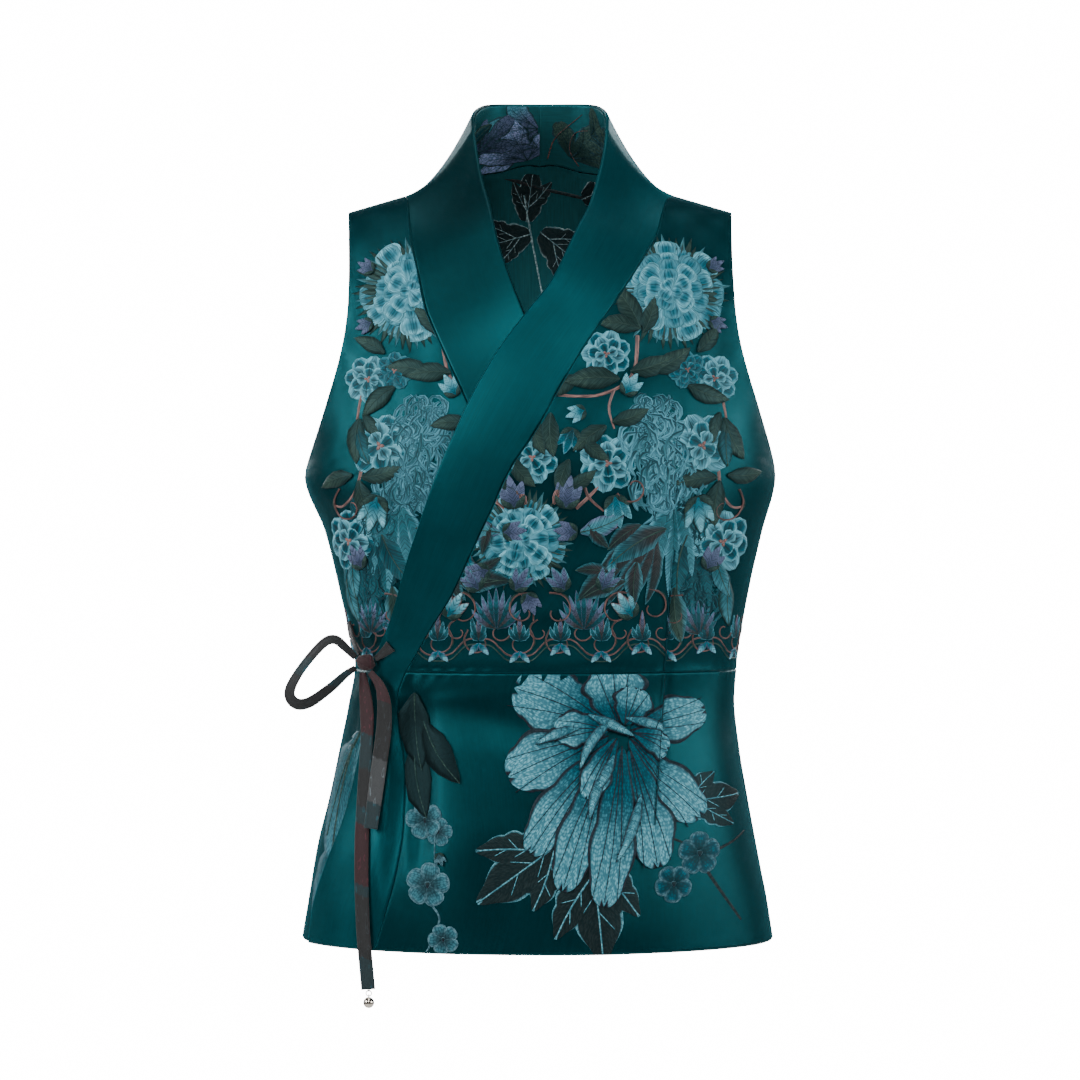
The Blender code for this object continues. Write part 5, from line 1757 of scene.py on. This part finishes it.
def make_cloth():
    ground = satin("embroidered_satin", TEAL, 0.25)
    # The over band's satin is the ground's, lighter with painted light.
    band_painted_light_cloth = satin("band_satin", BAND_TEAL_PAINTED_LIGHT, 0.45)
    # The under band's satin is the same, darker with painted shade.
    shaded_band = satin("under_band_painted_shade_satin", BAND_TEAL_PAINTED_SHADE, 0.35)
    leafy = satin("lining_satin", LINING_TEAL, 0.15)
    for layer, side in SIDES.items():
        sew("front_" + side, "bodice_front_" + side, panel(layer, "bodice"), WALL, ground)
        sew("skirt_" + side, "peplum_front_" + side, panel(layer, "peplum"), WALL, ground)
        look = band_painted_light_cloth if layer == "over" else shaded_band
        sew("band_" + side, "neckband_" + side, band(layer), BAND_WALL, look)
        sew("facing_" + side, "collar_facing_" + side, facing(layer), LINING_WALL, leafy)
    sew("back", "bodice_back", back_bodice, WALL, ground)
    sew("skirt_back", "peplum_back", back_peplum, WALL, ground)
    sew("lining", "back_lining", lining, LINING_WALL, leafy)


def make_tie():
    look = plush("ribbon_plush")
    for name, node, rows, place_of in (
        ("ribbon_side", "tie_side", SIDE_TIE, lying),
        ("ribbon_front", "tie_front", FRONT_TIE, hanging),
        ("ribbon_long", "tie_tail_long", LONG_TAIL, hanging),
        ("ribbon_short", "tie_tail_short", SHORT_TAIL, hanging),
        ("ribbon_loop", "tie_loop", LOOP, in_the_air),
    ):
        dye(sew(name, node, ribbon(rows, place_of), RIBBON_WALL, look, RIBBON_FINE))
    dye(make_knot(look))
    make_bead(polished("pale_metal"), plain("stitch_thread", TEAL_RIBBON, 0.6))


def make_embroidery():
    """The embroidered and woven patterns of every panel, mirrored about the centre on the bodice."""
    silk = thread("embroidery_thread")
    jacquard = woven_pattern("woven_pattern")
    half = laid_out(MIRRORED) + stems(BODICE_STEMS)
    other = laid_out(MIRRORED, True) + stems(BODICE_STEMS, True)
    sewn = half + other + border()
    # The dart's dark line: partly its sewn seam, partly painted shade along the dart.
    seam = [(x - DART_SHADE_LINE, z) for x, z in DART]
    single = laid_out(SINGLE) + stems(SINGLE_STEMS) + [strand(seam, DART_SHADE_LINE, SEA_DARK, DART_RISE, 0)]
    skirt = stems(SKIRT_STEMS) + laid_out(SKIRT) + peony()
    skirt.append(strand(seam, DART_SHADE_LINE, SEA_DARK, SKIRT_DART_RISE, 0))
    bodice_ends = WAIST + PANEL_EDGE, -4 * PANEL_EDGE
    skirt_ends = HEM + PANEL_EDGE, WAIST - PANEL_EDGE
    satin_slot, lining_slot = SLOTS["bodice"], SLOTS["back"]
    for cloth, name, slot, patches, place, look in (
        ("front_left", "flowers_left", satin_slot, sewn + single, on_panel("over", *bodice_ends), silk),
        ("front_right", "flowers_right", satin_slot, sewn, on_panel("under", *bodice_ends), silk),
        ("back", "flowers_back", satin_slot, sewn, on_back_panel(*bodice_ends), silk),
        ("skirt_left", "peony_left", satin_slot, skirt, on_panel("over", *skirt_ends), jacquard),
        ("skirt_right", "leaves_right", satin_slot, laid_out(UNDER_SKIRT), on_panel("under", *skirt_ends),
         jacquard),
        ("skirt_back", "peony_back", satin_slot, peony() + laid_out(BACK_SKIRT),
         on_back_panel(*skirt_ends), jacquard),
        ("lining", "lining_leaves", lining_slot, stems(LINING_STEMS) + laid_out(LINING_LEAVES),
         on_back_panel(*bodice_ends, True), jacquard),
        ("facing_left", "facing_pattern_left", lining_slot,
         laid_out(FACING_PATTERN["over"]) + stems(FACING_STEMS), on_facing("over"), jacquard),
        ("facing_right", "facing_pattern_right", lining_slot,
         laid_out(FACING_PATTERN["under"]), on_facing("under"), jacquard),
    ):
        embroider(name, patches, place, look)


def area_light(name, place, size, power):
    light = bpy.data.lights.new(name, "AREA")
    light.shape, light.size, light.energy = "SQUARE", size, power
    made = bpy.data.objects.new(name, light)
    made.location = place
    made.rotation_euler = (Vector(AIM) - Vector(place)).to_track_quat("-Z", "Y").to_euler()
    bpy.context.scene.collection.objects.link(made)


def stage_piece(name, kind, look, **sizes):
    getattr(bpy.ops.mesh, kind)(**sizes)
    made = bpy.context.object
    made.name = name
    made.data.materials.append(look)
    return made


def make_studio():
    """A pale floor under the hanging waistcoat, a white surround, and soft light from both sides."""
    pale = plain("pale_floor", (0.82, 0.82, 0.82), 0.9)
    stage_piece("floor", "primitive_circle_add", pale, radius=FLOOR_RADIUS, vertices=96, fill_type="NGON",
                location=(0, 0, FLOOR))
    surround = bpy.data.materials.new("white_surround")
    surround.use_nodes = True
    tree = surround.node_tree
    tree.nodes.clear()
    glow = tree.nodes.new("ShaderNodeEmission")
    glow.inputs["Strength"].default_value = SURROUND_GLOW
    output = tree.nodes.new("ShaderNodeOutputMaterial")
    tree.links.new(glow.outputs[0], output.inputs["Surface"])
    dome = stage_piece("surround", "primitive_uv_sphere_add", surround, radius=ROOM, segments=48,
                       ring_count=24, location=(0, 0, FLOOR + ROOM_RISE))
    dome.visible_diffuse = dome.visible_glossy = dome.visible_shadow = False
    world = bpy.data.worlds.new("studio")
    world.use_nodes = True
    world.node_tree.nodes["Background"].inputs["Color"].default_value = (0.92, 0.95, 1.0, 1)
    world.node_tree.nodes["Background"].inputs["Strength"].default_value = AMBIENT
    bpy.context.scene.world = world
    for name, place, size, power in LIGHTS:
        area_light(name, place, size, power)


def make_camera():
    camera = bpy.data.cameras.new("camera")
    camera.lens, camera.sensor_width = LENS, SENSOR
    made = bpy.data.objects.new("camera", camera)
    made.location = EYE
    made.rotation_euler = (pi / 2, 0, 0)
    bpy.context.scene.collection.objects.link(made)
    bpy.context.scene.camera = made


make_camera()
make_studio()
make_cloth()
make_tie()
make_embroidery()

bpy.context.view_layer.update()
